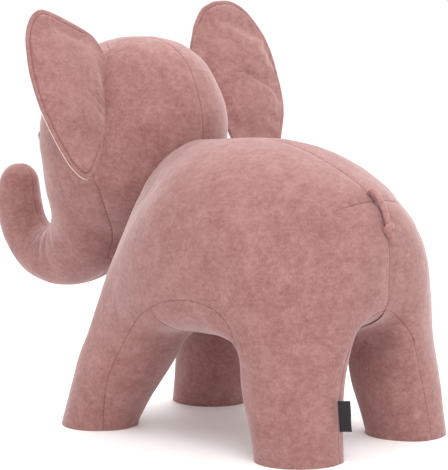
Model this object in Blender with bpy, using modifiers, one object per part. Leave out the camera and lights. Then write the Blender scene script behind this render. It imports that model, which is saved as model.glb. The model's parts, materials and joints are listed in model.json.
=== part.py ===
"""Elephant footstool: a sewn cover over foam on a wooden frame, with hinged
ears, a hanging tail and a zip under the rump.  Metres, +Z up, facing -Y."""
import math

import bmesh
import bpy
from mathutils import Matrix, Vector
from mathutils.bvhtree import BVHTree

NAME = "elephant_footstool"

# Driving dimensions ------------------------------------------------------
FEET_Y = 0.1325          # middle of the four feet; all profiles are told from here
WHEELBASE = 0.372        # front foot to rear foot, centre to centre
TRACK = 0.242            # left foot to right foot, centre to centre
FOOT_R_REAR = 0.0575
FOOT_R_FRONT = 0.0555
COVER_T = 0.002          # cover fabric with its backing
SEAM_GAP = 0.0006        # half the gap between two cover panels
SKIN_GAP = 0.0009        # between the cover and the foam under it
SOLE_T = 0.0035
FOOT_DISC_T = 0.008
GAP = 0.0004
LEG_CUT_Z = 0.118        # leg foam stops and haunch foam starts
TORSO_CUT_Z = 0.200      # haunch foam stops and torso foam starts
NECK_C = (-0.1395, 0.3460)      # y, z of the neck seam's middle
NECK_N = (-0.81, 0.586)         # y, z of its normal, toward the head
NECK_R = (0.0750, 0.0800)       # half width and half height of the neck seam
SEAT_Z = 0.262           # underside of the seat board
SEAT_T = 0.018
SEAT_W, SEAT_L, SEAT_Y = 0.250, 0.320, 0.020
POST_R_TOP, POST_R_FOOT = 0.021, 0.017
HEAD_SECTORS = 20
EAR_ROOT = (0.111, -0.1815, 0.4805)     # middle of the left ear's fold line
EAR_UP = (-0.329, -0.354, 0.875)        # along the fold line
EAR_OUT = (0.940, -0.043, 0.336)        # away from the head, in the ear's plane
EAR_T = 0.0012
EYE_ANGLE = 42.0         # from straight ahead
EYE_R = 0.008
TAIL_R = 0.005
TAIL_ROOT = (0.0, 0.2145, 0.3530)
ZIP_TOP = (0.0, 0.2240, 0.1850)         # where the zip starts, under the rump
ZIP_SLOPE = 26.0         # degrees down, going forward
ZIP_LEN = 0.076
SLIT_FRONT, SLIT_REAR, SLIT_HALF = 0.150, 0.222, 0.0065
SLIDER_TRAVEL = 0.030
LABEL = (0.0008, 0.014, 0.041)

# Materials ---------------------------------------------------------------
COLOURS = {
    "suede": ((0.50, 0.245, 0.225), 0.92, 0.0),
    "cream": ((0.80, 0.72, 0.62), 0.9, 0.0),
    "black_felt": ((0.02, 0.02, 0.02), 0.95, 0.0),
    "foam": ((0.86, 0.80, 0.62), 0.95, 0.0),
    "fibre": ((0.9, 0.9, 0.88), 0.95, 0.0),
    "plywood": ((0.62, 0.44, 0.26), 0.6, 0.0),
    "beech": ((0.70, 0.50, 0.32), 0.55, 0.0),
    "steel": ((0.55, 0.56, 0.58), 0.35, 1.0),
    "eye": ((0.01, 0.01, 0.012), 0.12, 0.0),
    "tape": ((0.36, 0.17, 0.16), 0.85, 0.0),
    "nylon": ((0.30, 0.14, 0.13), 0.4, 0.0),
    "label": ((0.015, 0.015, 0.016), 0.8, 0.0),
}

for old in list(bpy.data.objects):
    bpy.data.objects.remove(old, do_unlink=True)

parts = bpy.data.collections.new(NAME)
tools = bpy.data.collections.new("cutters")
bpy.context.scene.collection.children.link(parts)
bpy.context.scene.collection.children.link(tools)


# Helpers -----------------------------------------------------------------
def material(name, kind):
    colour, rough, metal = COLOURS[kind]
    mat = bpy.data.materials.new(name + "_" + kind)
    mat.use_nodes = True
    shader = mat.node_tree.nodes["Principled BSDF"]
    shader.inputs["Base Color"].default_value = (*colour, 1.0)
    shader.inputs["Roughness"].default_value = rough
    shader.inputs["Metallic"].default_value = metal
    return mat


def add(name, mesh, kind, smooth=True, where=None):
    """Link a mesh as one named part with its own material."""
    obj = bpy.data.objects.new(name, mesh)
    mesh.materials.clear()
    mesh.materials.append(material(name, kind))
    for face in mesh.polygons:
        face.material_index = 0
        face.use_smooth = smooth
    (where or parts).objects.link(obj)
    return obj


def mesh_of(name, bm):
    bmesh.ops.recalc_face_normals(bm, faces=bm.faces)
    mesh = bpy.data.meshes.new(name)
    bm.to_mesh(mesh)
    bm.free()
    return mesh


def evaluated(obj, name):
    """The mesh of an object with its modifiers worked out."""
    deps = bpy.context.evaluated_depsgraph_get()
    deps.update()
    return bpy.data.meshes.new_from_object(obj.evaluated_get(deps), depsgraph=deps)


def subsurf(obj, levels):
    mod = obj.modifiers.new("round", "SUBSURF")
    mod.levels = mod.render_levels = levels
    return mod


def solidify(obj, thickness, offset=-1.0):
    mod = obj.modifiers.new("thickness", "SOLIDIFY")
    mod.thickness = thickness
    mod.offset = offset
    mod.use_even_offset = True
    return mod


def cut(obj, cutter, op="DIFFERENCE"):
    mod = obj.modifiers.new("cut", "BOOLEAN")
    mod.operation = op
    mod.solver = "EXACT"
    mod.object = cutter
    cutter.hide_render = True
    cutter.display_type = "WIRE"
    return mod


def cylinder(name, r1, r2, depth, segs=24):
    bm = bmesh.new()
    bmesh.ops.create_cone(bm, cap_ends=True, segments=segs, radius1=r1, radius2=r2, depth=depth)
    return mesh_of(name, bm)


def box(name, sx, sy, sz):
    bm = bmesh.new()
    bmesh.ops.create_cube(bm, size=1.0)
    bmesh.ops.scale(bm, vec=(sx, sy, sz), verts=bm.verts)
    return mesh_of(name, bm)


def plank(name, grow, thick):
    """The seat board: a rectangle with rounded corners."""
    bm = bmesh.new()
    bmesh.ops.create_cube(bm, size=1.0)
    bmesh.ops.scale(bm, vec=(SEAT_W + 2 * grow, SEAT_L + 2 * grow, thick), verts=bm.verts)
    posts = [e for e in bm.edges if abs(e.verts[0].co.z - e.verts[1].co.z) > thick / 2]
    bmesh.ops.bevel(bm, geom=posts, offset=0.055, segments=3, profile=0.5, affect="EDGES")
    return mesh_of(name, bm)


def place(obj, loc, rot=None):
    obj.location = loc
    if rot is not None:
        obj.rotation_euler = rot.to_euler()
    return obj


def frame_of(x_axis, z_axis):
    """Rotation whose Z is z_axis and whose X is close to x_axis."""
    z = Vector(z_axis).normalized()
    x = Vector(x_axis)
    x = (x - z * x.dot(z)).normalized()
    y = z.cross(x)
    return Matrix((x, y, z)).transposed()


def at_feet(x, y, z):
    return Vector((x, y + FEET_Y, z))


# Body form ---------------------------------------------------------------
# Box cage: columns i = -3..3 across, stations j = 0 (rump) .. 7 (chest),
# rows k = 0 (underside) .. 3 (back).  Legs and neck grow out of it.
def mirror_i(i, p):
    return Vector((math.copysign(p[0], i) if i else 0.0, p[1], p[2]))


RUMP = {                 # (i, k) on the rump: x, y, z
    (0, 0): (0.000, 0.242, 0.194), (1, 0): (0.050, 0.242, 0.181), (2, 0): (0.104, 0.234, 0.146),
    (3, 0): (0.158, 0.208, 0.140),
    (0, 1): (0.000, 0.253, 0.240), (1, 1): (0.056, 0.250, 0.238), (2, 1): (0.114, 0.238, 0.226),
    (3, 1): (0.162, 0.192, 0.218),
    (0, 2): (0.000, 0.253, 0.296), (1, 2): (0.054, 0.248, 0.294), (2, 2): (0.106, 0.230, 0.288),
    (3, 2): (0.150, 0.178, 0.280),
    (0, 3): (0.000, 0.218, 0.347), (1, 3): (0.046, 0.214, 0.344), (2, 3): (0.090, 0.194, 0.332),
    (3, 3): (0.122, 0.156, 0.320),
}
CHEST = {                # (i, k) on the chest
    (0, 0): (0.000, -0.190, 0.170), (1, 0): (0.050, -0.196, 0.160), (2, 0): (0.100, -0.208, 0.146),
    (3, 0): (0.142, -0.195, 0.150),
    (0, 1): (0.000, -0.196, 0.236), (1, 1): (0.050, -0.194, 0.238), (2, 1): (0.100, -0.178, 0.244),
    (3, 1): (0.142, -0.144, 0.238),
    (2, 2): (0.102, -0.134, 0.318), (3, 2): (0.126, -0.112, 0.304),
    (0, 3): (0.000, -0.086, 0.412), (1, 3): (0.042, -0.086, 0.409), (2, 3): (0.082, -0.088, 0.388),
    (3, 3): (0.110, -0.086, 0.352),
}
# Middle stations: y low down, y along the back, half width, underside, back,
# foot of the flank, height of the arch seam
STATIONS = {
    1: (0.176, 0.168, 0.188, 0.160, 0.378, 0.150, 0.218),
    2: (0.120, 0.102, 0.200, 0.138, 0.407, 0.158, 0.206),
    3: (0.066, 0.046, 0.203, 0.140, 0.418, 0.174, 0.213),
    4: (0.010, 0.000, 0.201, 0.142, 0.419, 0.174, 0.208),
    5: (-0.050, -0.038, 0.192, 0.150, 0.417, 0.158, 0.196),
    6: (-0.118, -0.064, 0.166, 0.162, 0.413, 0.152, 0.215),
}


def station_point(i, j, k):
    low, high, half, under, back, flank, arch = STATIONS[j]
    a = abs(i)
    if k == 0:
        across = (0.0, 0.27, 0.60, 0.92)[a] * half
        lift = (0.0, 0.04, 0.3, 1.0)[a]
        return mirror_i(i, (across, low, under + (flank - under) * lift))
    if k == 3:
        across = (0.0, 0.29, 0.56, 0.78)[a] * half
        drop = (0.0, 0.006, 0.027, 0.064)[a]
        return mirror_i(i, (across, high, back - drop))
    if k == 2:
        return mirror_i(i, (0.965 * half, (low + high) / 2, 0.293))
    return mirror_i(i, (half, low, arch))


LEG_ANGLES = {           # ring vertex: degrees from outward toward the other leg
    (3, 1): 0, (3, 2): 47, (2, 2): 90, (1, 2): 135, (1, 1): 180, (1, 0): 225, (2, 0): 253,
    (3, 0): 305,
}
LEG_RINGS = ((0.100, 1.17, 0.66), (0.050, 1.08, 0.30), (SOLE_T + GAP, 1.0, 0.0))

SIDE, BELLY, REAR_LEG, FRONT_LEG = 0, 2, 3, 5   # panel numbers (left; right is one more)


def body_cage():
    bm = bmesh.new()
    verts = {}

    def vert(i, j, k):
        key = (i, j, k)
        if key not in verts:
            a = abs(i)
            if j == 0:
                p = mirror_i(i, RUMP[(a, k)])
            elif j == 7:
                p = mirror_i(i, CHEST[(a, k)])
            else:
                p = station_point(i, j, k)
            verts[key] = bm.verts.new(p)
        return verts[key]

    def face(keys, panel):
        f = bm.faces.new([k if isinstance(k, bmesh.types.BMVert) else vert(*k) for k in keys])
        f.material_index = panel

    for i in range(-3, 3):
        left = i >= 0
        side = SIDE + (0 if left else 1)
        for j in range(7):
            face([(i, j, 3), (i + 1, j, 3), (i + 1, j + 1, 3), (i, j + 1, 3)], side)
            leg_patch = (j in (0, 1) or j in (5, 6)) and i not in (-1, 0)
            if not leg_patch:
                panel = BELLY
                if j < 2:
                    panel = REAR_LEG + (0 if left else 1)
                elif j > 4:
                    panel = FRONT_LEG + (0 if left else 1)
                face([(i, j, 0), (i, j + 1, 0), (i + 1, j + 1, 0), (i + 1, j, 0)], panel)
        for k in range(3):
            face([(i, 0, k), (i + 1, 0, k), (i + 1, 0, k + 1), (i, 0, k + 1)], side)
            if not (k > 0 and -2 <= i < 2):
                face([(i, 7, k), (i, 7, k + 1), (i + 1, 7, k + 1), (i + 1, 7, k)], side)
    for s in (-1, 1):
        side = SIDE + (0 if s > 0 else 1)
        for j in range(7):
            for k in range(3):
                arch = k == 0 and 2 <= j <= 4
                face([(3 * s, j, k), (3 * s, j + 1, k), (3 * s, j + 1, k + 1), (3 * s, j, k + 1)],
                     BELLY if arch else side)

    # Legs: eight-sided tubes, splayed outward toward the floor.
    for s in (-1, 1):
        for rear in (True, False):
            foot_r = FOOT_R_REAR if rear else FOOT_R_FRONT
            end = 1 if rear else -1
            lean = (0.012, 0.030) if rear else (0.018, 0.058)
            centre = Vector((s * TRACK / 2, end * WHEELBASE / 2, 0))
            base = 0 if rear else 7
            keys = list(LEG_ANGLES)
            ring = [vert(s * a, base + end * b, 0) for a, b in keys]
            panel = (REAR_LEG if rear else FRONT_LEG) + (0 if s > 0 else 1)
            side = SIDE + (0 if s > 0 else 1)
            for z, swell, pull in LEG_RINGS:
                r = foot_r / 0.9024 * (swell if rear else 1 + (swell - 1) * 1.5)
                new = []
                for key, old in zip(keys, ring):
                    ang = math.radians(LEG_ANGLES[key])
                    x = centre.x + s * r * math.cos(ang) - s * lean[0] * pull
                    y = centre.y - end * r * math.sin(ang) - end * lean[1] * pull
                    if not rear and pull > 0.5 and math.sin(ang) > 0.5:
                        y += 0.014 * math.sin(ang)
                    new.append(bm.verts.new((x, y, z)))
                for n, key in enumerate(keys):
                    m = (n + 1) % 8
                    pair = {key, keys[m]}
                    outer = pair in ({(3, 1), (3, 2)}, {(3, 0), (3, 1)}, {(2, 0), (3, 0)})
                    face([ring[n], ring[m], new[m], new[n]], side if outer else panel)
                ring = new

    # Neck: the hole in the chest is drawn out to a round seam.
    keys = [(2, 2), (2, 3), (1, 3), (0, 3), (-1, 3), (-2, 3), (-2, 2), (-2, 1), (-1, 1),
            (0, 1), (1, 1), (2, 1)]
    c = Vector((0, NECK_C[0], NECK_C[1]))
    n = Vector((0, NECK_N[0], NECK_N[1])).normalized()
    up = Vector((0, n.z, -n.y))
    ring = [vert(i, 7, k) for i, k in keys]
    new = []
    for m in range(12):
        ang = math.radians(30 * m)
        new.append(bm.verts.new(c + Vector((1, 0, 0)) * (NECK_R[0] / 0.955 * math.cos(ang))
                                + up * (NECK_R[1] / 0.955 * math.sin(ang)) - n * (GAP / 2)))
    for m in range(12):
        p = (m + 1) % 12
        side = SIDE + (0 if new[m].co.x + new[p].co.x > 0 else 1)
        face([ring[m], ring[p], new[p], new[m]], side)
    return bm


def form(bm, name, levels):
    """Work out a subdivided form as a plain mesh, outward side out."""
    bmesh.ops.recalc_face_normals(bm, faces=bm.faces)
    centre = sum((v.co for v in bm.verts), Vector()) / len(bm.verts)
    if sum((f.calc_center_median() - centre).dot(f.normal) * f.calc_area() for f in bm.faces) < 0:
        bmesh.ops.reverse_faces(bm, faces=bm.faces)
    for v in bm.verts:
        v.co.y += FEET_Y
    mesh = bpy.data.meshes.new(name)
    bm.to_mesh(mesh)
    bm.free()
    for _ in range(7):
        mesh.materials.append(None)
    if levels:
        obj = bpy.data.objects.new(name, mesh)
        tools.objects.link(obj)
        subsurf(obj, levels)
        mesh = evaluated(obj, name)
        bpy.data.objects.remove(obj)
    bm = bmesh.new()
    bm.from_mesh(mesh)
    bmesh.ops.triangulate(bm, faces=bm.faces, quad_method="SHORT_EDGE")
    bm.to_mesh(mesh)
    bm.free()
    return mesh


def clip(bm, point, normal, fill=True):
    """Keep what lies ahead of a plane and close the cut."""
    geom = list(bm.verts) + list(bm.edges) + list(bm.faces)
    bmesh.ops.bisect_plane(bm, geom=geom, plane_co=point, plane_no=normal, clear_inner=True)
    if fill:
        close_holes(bm)


def close_holes(bm):
    rim = [e for e in bm.edges if e.is_boundary]
    bmesh.ops.holes_fill(bm, edges=rim, sides=0)
    bmesh.ops.recalc_face_normals(bm, faces=bm.faces)


def panel(name, source, number, kind="suede", slit=None):
    """One cover panel: its faces of the form, drawn back from the seams, and
    the same faces again on the inside, joined round the rim."""
    bm = bmesh.new()
    bm.from_mesh(source)
    bm.normal_update()
    inward = {v.index: v.normal.copy() for v in bm.verts}
    number_of = bm.verts.layers.int.new("first_index")
    for v in bm.verts:
        v[number_of] = v.index
    other = [f for f in bm.faces if f.material_index != number]
    bmesh.ops.delete(bm, geom=other, context="FACES")
    moves = []
    for v in bm.verts:
        if v.is_boundary:
            d = sum((f.calc_center_median() - v.co for f in v.link_faces), Vector())
            n = inward[v[number_of]]
            d -= n * d.dot(n)
            moves.append((v, d.normalized() * SEAM_GAP))
    for v, d in moves:
        v.co += d
    if slit:
        slit(bm)
    outer = list(bm.faces)
    rim = [e for e in bm.edges if e.is_boundary]
    lining = {v: bm.verts.new(v.co - inward[v[number_of]] * COVER_T) for v in list(bm.verts)}
    walls = []
    for e in rim:
        loop = e.link_loops[0]
        a, b = loop.vert, loop.link_loop_next.vert
        walls.append((b, a, lining[a], lining[b]))
    for f in outer:
        bm.faces.new([lining[v] for v in reversed(f.verts)])
    for wall in walls:
        bm.faces.new(wall)
    mesh = bpy.data.meshes.new(name)
    bm.to_mesh(mesh)
    bm.free()
    return add(name, mesh, kind)


def shrunk(source, depth):
    """The form drawn inward by a depth, as an open working mesh."""
    bm = bmesh.new()
    bm.from_mesh(source)
    bm.normal_update()
    moves = [(v, v.normal * depth) for v in bm.verts]
    for v, d in moves:
        v.co -= d
    return bm


def cutter(name, mesh, loc=(0, 0, 0), rot=None):
    obj = bpy.data.objects.new("tool_" + name, mesh)
    tools.objects.link(obj)
    place(obj, loc, rot)
    obj.hide_render = True
    obj.display_type = "WIRE"
    return obj


def turned(name, profile, kind, steps=20):
    """A round piece turned about its own Z from (radius, height) points."""
    mesh = bpy.data.meshes.new(name)
    points = [(r, 0.0, z) for r, z in profile]
    mesh.from_pydata(points, [(n, n + 1) for n in range(len(points) - 1)], [])
    blank = bpy.data.objects.new(name, mesh)
    tools.objects.link(blank)
    mod = blank.modifiers.new("turn", "SCREW")
    mod.axis = "Z"
    mod.steps = mod.render_steps = steps
    mod.use_merge_vertices = True
    mod.merge_threshold = 0.00001
    bm = bmesh.new()
    bm.from_mesh(evaluated(blank, name))
    bpy.data.objects.remove(blank)
    bmesh.ops.remove_doubles(bm, verts=bm.verts, dist=0.00001)
    return add(name, mesh_of(name, bm), kind)


def leaning_post(name, r_foot, r_top, low, high, slope, segs=16):
    """A tapered round post whose two ends stay level; its own Z = 0 is the floor."""
    mesh = cylinder(name, r_foot, r_top, high - low, segs)
    mesh.transform(Matrix.Translation((0, 0, (high + low) / 2)))
    for v in mesh.vertices:
        v.co.x += slope[0] * v.co.z
        v.co.y += slope[1] * v.co.z
    return mesh


# Body cover --------------------------------------------------------------
def zip_slit(bm):
    """Draw the seam under the rump apart where the zip lies, along the fabric."""
    moves = []
    for v in bm.verts:
        if abs(v.co.x) < 0.003 and SLIT_FRONT < v.co.y - FEET_Y < SLIT_REAR:
            ways = [e.other_vert(v).co - v.co for e in v.link_edges]
            across = max(ways, key=lambda d: abs(d.x) / d.length)
            moves.append((v, across * ((SLIT_HALF - abs(v.co.x)) / abs(across.x))))
    for v, d in moves:
        v.co += d


body = form(body_cage(), "body_form", 1)
panels = {}
for number, label in enumerate(("side_panel_left", "side_panel_right", "belly_panel",
                                "rear_leg_inner_left", "rear_leg_inner_right",
                                "front_leg_inner_left", "front_leg_inner_right")):
    panels[label] = panel(label, body, number, slit=zip_slit if number in (3, 4) else None)

# Zip under the rump: a straight line going forward and down.
slope = math.radians(ZIP_SLOPE)
zip_run = Vector((0, -math.cos(slope), -math.sin(slope)))
zip_out = Vector((0, math.sin(slope), -math.cos(slope)))
zip_rot = frame_of((1, 0, 0), zip_out)           # X across, Z out of the fabric
zip_start = at_feet(*ZIP_TOP)
zip_mid = zip_start + zip_run * (ZIP_LEN / 2)

# Frame -------------------------------------------------------------------
board_z = SEAT_Z + SEAT_T / 2
seat = add("seat_board", plank("seat_board", 0.0, SEAT_T), "plywood", smooth=False)
place(seat, at_feet(0, SEAT_Y, board_z))

post_tools, head_tools, bolt_tools = [], [], []
for side, s in (("left", 1), ("right", -1)):
    for end, e in (("rear", 1), ("front", -1)):
        tag = end + "_" + side
        r = FOOT_R_REAR if e > 0 else FOOT_R_FRONT
        foot = at_feet(s * TRACK / 2, e * WHEELBASE / 2, 0)
        pull = (0.020, 0.050) if e > 0 else (0.026, 0.092)
        lean = (-s * pull[0] / SEAT_Z, -e * pull[1] / SEAT_Z)
        low = SOLE_T + FOOT_DISC_T + 3 * GAP
        top = foot + Vector((lean[0], lean[1], 1.0)) * SEAT_Z

        sole = turned("sole_" + tag, [(0, 0), (r - 0.0025, 0), (r - 0.0015, 0.0008),
                                      (r - 0.0015, SOLE_T), (0, SOLE_T)], "black_felt", 22)
        place(sole, foot)
        disc = turned("foot_disc_" + tag, [(0, 0), (r - 0.0085, 0), (r - 0.0085, FOOT_DISC_T),
                                           (0, FOOT_DISC_T)], "plywood", 22)
        place(disc, foot + Vector((0, 0, SOLE_T + GAP)))
        post = add("leg_post_" + tag, leaning_post("leg_post_" + tag, POST_R_FOOT, POST_R_TOP, low,
                                                   SEAT_Z - GAP, lean), "beech")
        place(post, foot)
        wide = leaning_post("post_space_" + tag, POST_R_FOOT + 0.0008, POST_R_TOP + 0.0010,
                            low - 0.010, SEAT_Z + 0.002, lean)
        post_tools.append(cutter("post_" + tag, wide, foot))
        hole = cutter("bolt_hole_" + tag, cylinder("bolt_hole_" + tag, 0.0046, 0.0046, 0.11, 10),
                      top)
        cut(post, hole)
        cut(seat, hole)
        head = SEAT_Z + SEAT_T + GAP
        bolt = turned("post_bolt_" + tag, [
            (0, -0.045), (0.0030, -0.045), (0.0040, -0.043), (0.0040, SEAT_T + GAP),
            (0.0100, SEAT_T + GAP), (0.0100, SEAT_T + GAP + 0.0015), (0.0072, SEAT_T + 0.0050),
            (0.0050, SEAT_T + 0.0065), (0, SEAT_T + 0.0065)], "steel", 10)
        place(bolt, top)
        head_tools.append(cutter("bolt_head_" + tag, cylinder("bolt_head_" + tag, 0.0112, 0.0112,
                                                              0.012, 16),
                                 top + Vector((0, 0, SEAT_T + 0.0045))))

neck_at = at_feet(0, *NECK_C)
neck_n = Vector((0, *NECK_N)).normalized()
neck_rot = frame_of((1, 0, 0), neck_n)
neck_board = turned("neck_board", [(0, -0.0150), (0.0610, -0.0150), (0.0620, -0.0140),
                                   (0.0620, -0.0010), (0.0610, 0), (0, 0)], "plywood", 28)
place(neck_board, neck_at - neck_n * 0.0012, neck_rot)
neck_space = cutter("neck_space", cylinder("neck_space", 0.0626, 0.0626, 0.034, 28), neck_at,
                    neck_rot)

down = neck_rot @ Vector((0, 1, 0))
back_face = neck_at - neck_n * (0.0012 + 0.0150 + GAP)
floor_z = SEAT_Z + SEAT_T + GAP


def gusset(name, grow, thick):
    low_pt = back_face + Vector((0, -0.586, -0.81)) * 0.050
    top_pt = back_face + Vector((0, 0.586, 0.81)) * 0.052
    corners = [Vector((0, low_pt.y + 0.006, floor_z - grow)), low_pt + Vector((0, -grow, -grow)),
               top_pt + Vector((0, -grow, grow * 2)),
               Vector((0, top_pt.y + 0.070 + grow * 2, floor_z - grow))]
    bm = bmesh.new()
    a = [bm.verts.new((-thick / 2, c.y, c.z)) for c in corners]
    b = [bm.verts.new((thick / 2, c.y, c.z)) for c in corners]
    bm.faces.new(a)
    bm.faces.new(b)
    for n in range(4):
        bm.faces.new([a[n], a[(n + 1) % 4], b[(n + 1) % 4], b[n]])
    return mesh_of(name, bm)


neck_gusset = add("neck_gusset", gusset("neck_gusset", 0.0, 0.018), "plywood", smooth=False)
gusset_space = cutter("gusset_space", gusset("gusset_space", 0.0008, 0.0196))

PEG_LEN = 0.125
peg = turned("head_peg", [(0, 0), (0.0140, 0), (0.0140, PEG_LEN - 0.004), (0.0110, PEG_LEN),
                          (0, PEG_LEN)], "beech", 16)
place(peg, neck_at + neck_n * 0.0006, neck_rot)
peg_space = cutter("peg_space", cylinder("peg_space", 0.0146, 0.0146, 2 * PEG_LEN + 0.004, 20),
                   neck_at, neck_rot)

# Foam --------------------------------------------------------------------
depth = COVER_T + SKIN_GAP
bm = shrunk(body, depth)
close_holes(bm)
clip(bm, neck_at - neck_n * 0.0010, -neck_n)
clip(bm, (0, 0, TORSO_CUT_Z + GAP / 2), (0, 0, 1))
torso = add("torso_foam", mesh_of("torso_foam", bm), "foam")
seat_space = cutter("seat_space", plank("seat_space", 0.0006, SEAT_T + 0.0012),
                    seat.location)
zip_pocket = cutter("zip_pocket", box("zip_pocket", 0.056, ZIP_LEN + 0.020, 0.016),
                    zip_mid - zip_out * 0.001, zip_rot)
for tool in [seat_space, *post_tools, *head_tools, gusset_space, neck_space, zip_pocket]:
    cut(torso, tool)

# Each quarter is a haunch block with a leg block glued under it.
for side, s in (("left", 1), ("right", -1)):
    for end, e in (("rear", 1), ("front", -1)):
        post_tool = next(t for t in post_tools if t.name == "tool_post_%s_%s" % (end, side))
        for label, low, high in (("leg_foam", SOLE_T + FOOT_DISC_T + 2 * GAP, LEG_CUT_Z - GAP / 2),
                                 ("haunch_foam", LEG_CUT_Z + GAP / 2, TORSO_CUT_Z - GAP / 2)):
            bm = shrunk(body, depth)
            close_holes(bm)
            clip(bm, (0, 0, high), (0, 0, -1))
            clip(bm, (0, 0, low), (0, 0, 1))
            clip(bm, (s * GAP / 2, 0, 0), (s, 0, 0))
            clip(bm, (0, FEET_Y + e * GAP / 2, 0), (0, e, 0))
            block = add("%s_%s_%s" % (label, end, side), mesh_of(label, bm), "foam")
            cut(block, post_tool)
            if label == "haunch_foam" and end == "rear":
                cut(block, zip_pocket)

# Head and trunk ----------------------------------------------------------
# One form from the crown down the face and along the trunk to its tip:
# y, z, half width, half depth, and how far the section leans (degrees).
HEAD = (
    (-0.206, 0.5545, 0.030, 0.030, 4), (-0.208, 0.545, 0.060, 0.060, 5),
    (-0.212, 0.525, 0.091, 0.091, 6), (-0.217, 0.497, 0.115, 0.115, 8),
    (-0.223, 0.462, 0.132, 0.132, 9), (-0.230, 0.424, 0.1385, 0.1385, 11),
    (-0.240, 0.385, 0.137, 0.137, 15), (-0.255, 0.348, 0.126, 0.124, 22),
    (-0.290, 0.313, 0.106, 0.090, 34), (-0.309, 0.278, 0.084, 0.076, 45),
    (-0.334, 0.248, 0.066, 0.063, 58), (-0.367, 0.227, 0.053, 0.053, 72),
    (-0.404, 0.219, 0.045, 0.045, 88), (-0.438, 0.226, 0.0405, 0.0405, 108),
    (-0.464, 0.248, 0.0375, 0.0375, 130), (-0.479, 0.279, 0.0360, 0.0360, 152),
    (-0.484, 0.309, 0.0345, 0.0345, 170), (-0.482, 0.333, 0.0300, 0.0300, 180),
    (-0.480, 0.348, 0.0210, 0.0210, 184), (-0.4785, 0.3550, 0.0105, 0.0105, 186),
)
FACE, NAPE = 0, 2        # panel numbers (left; right is one more)
EAR_SECTOR = 6           # the ear seam runs down between sectors 5 and 6


def head_cage():
    bm = bmesh.new()
    rings = []
    for y, z, wide, deep, tilt in HEAD:
        t = math.radians(tilt)
        front = Vector((0, -math.cos(t), math.sin(t)))
        ring = []
        for n in range(HEAD_SECTORS):
            a = 2 * math.pi * n / HEAD_SECTORS
            p = Vector((wide * math.sin(a), y, z)) + front * (deep * math.cos(a))
            ring.append(bm.verts.new(p))
        rings.append(ring)
    crown = bm.verts.new((0, HEAD[0][0] + 0.001, HEAD[0][1] + 0.0030))
    tip = bm.verts.new((0, HEAD[-1][0], HEAD[-1][1] + 0.0015))
    half = HEAD_SECTORS // 2

    def number(level, n):
        left = n < half
        m = n if left else HEAD_SECTORS - 1 - n
        nape = m >= EAR_SECTOR and level < 9
        return (NAPE if nape else FACE) + (0 if left else 1)

    for n in range(HEAD_SECTORS):
        m = (n + 1) % HEAD_SECTORS
        f = bm.faces.new((crown, rings[0][n], rings[0][m]))
        f.material_index = number(0, n)
        for level in range(len(rings) - 1):
            a, b = rings[level], rings[level + 1]
            f = bm.faces.new((a[n], b[n], b[m], a[m]))
            f.material_index = number(level, n)
        f = bm.faces.new((rings[-1][n], tip, rings[-1][m]))
        f.material_index = number(20, n)
    return bm


head_whole = form(head_cage(), "head_form", 0)
bm = bmesh.new()
bm.from_mesh(head_whole)
surface = BVHTree.FromBMesh(bm)
clip(bm, neck_at + neck_n * (GAP / 2), neck_n, fill=False)
head_open = bpy.data.meshes.new("head_open")
bm.to_mesh(head_open)
bm.free()
for _ in range(4):
    head_open.materials.append(None)
for number, label in enumerate(("face_panel_left", "face_panel_right", "nape_panel_left",
                                "nape_panel_right")):
    panels[label] = panel(label, head_open, number)

trunk_at = at_feet(0, -0.315, 0.2610)
trunk_n = Vector((0, -0.74, -0.67)).normalized()
for label, sign in (("head_fill", -1), ("trunk_fill", 1)):
    bm = shrunk(head_whole, depth)
    clip(bm, neck_at + neck_n * 0.0008, neck_n)
    clip(bm, trunk_at + trunk_n * (sign * GAP / 2), trunk_n * sign)
    fill = add(label, mesh_of(label, bm), "fibre")
    panels[label] = fill
cut(panels["head_fill"], peg_space)

# Eyes --------------------------------------------------------------------
for side, s in (("left", 1), ("right", -1)):
    a = math.radians(EYE_ANGLE)
    ray = Vector((s * math.sin(a), -math.cos(a), -0.02)).normalized()
    hit = surface.ray_cast(at_feet(0, -0.232, 0.412), ray)
    normal = hit[1] if hit[1].dot(ray) > 0 else -hit[1]
    rot = frame_of((0, 0, 1), normal)
    eye = turned("eye_" + side, [
        (0, -0.016), (0.0012, -0.016), (0.0016, -0.0150), (0.0016, 0), (EYE_R - 0.0008, 0),
        (EYE_R, 0.0010), (EYE_R - 0.0006, 0.0022), (EYE_R - 0.0024, 0.0036),
        (EYE_R - 0.0050, 0.0044), (0, 0.0047)], "eye", 14)
    place(eye, hit[0] + normal * 0.0006, rot)
    bore = cutter("eye_hole_" + side, cylinder("eye_hole_" + side, 0.0022, 0.0022, 0.036, 12),
                  hit[0], rot)
    cut(panels["face_panel_" + side], bore)
    cut(panels["head_fill"], bore)

# Ears --------------------------------------------------------------------
# Outline of the left ear from behind: out from the fold line, up along it.
EAR = (
    (-0.0030, 0.067), (0.008, 0.082), (0.030, 0.093), (0.066, 0.101), (0.099, 0.102),
    (0.128, 0.090), (0.147, 0.064), (0.155, 0.030), (0.150, -0.018), (0.132, -0.066),
    (0.104, -0.105), (0.074, -0.134), (0.046, -0.147), (0.022, -0.136), (0.006, -0.108),
    (-0.001, -0.082), (-0.0030, -0.062), (-0.0018, -0.042), (0.0016, -0.020), (0.0036, 0.0),
    (0.0028, 0.020), (-0.0002, 0.043),
)
EAR_MID = (0.074, -0.010)
EAR_RINGS = ((1.0, 0.0, 0.0), (0.935, 0.0, 0.0), (0.84, 0.42, 0.42), (0.66, 0.78, 0.8),
             (0.36, 0.97, 1.0))
EAR_RIM = EAR_T + 0.0003
PUFF_BACK, PUFF_FRONT = 0.0115, 0.0065


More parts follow.
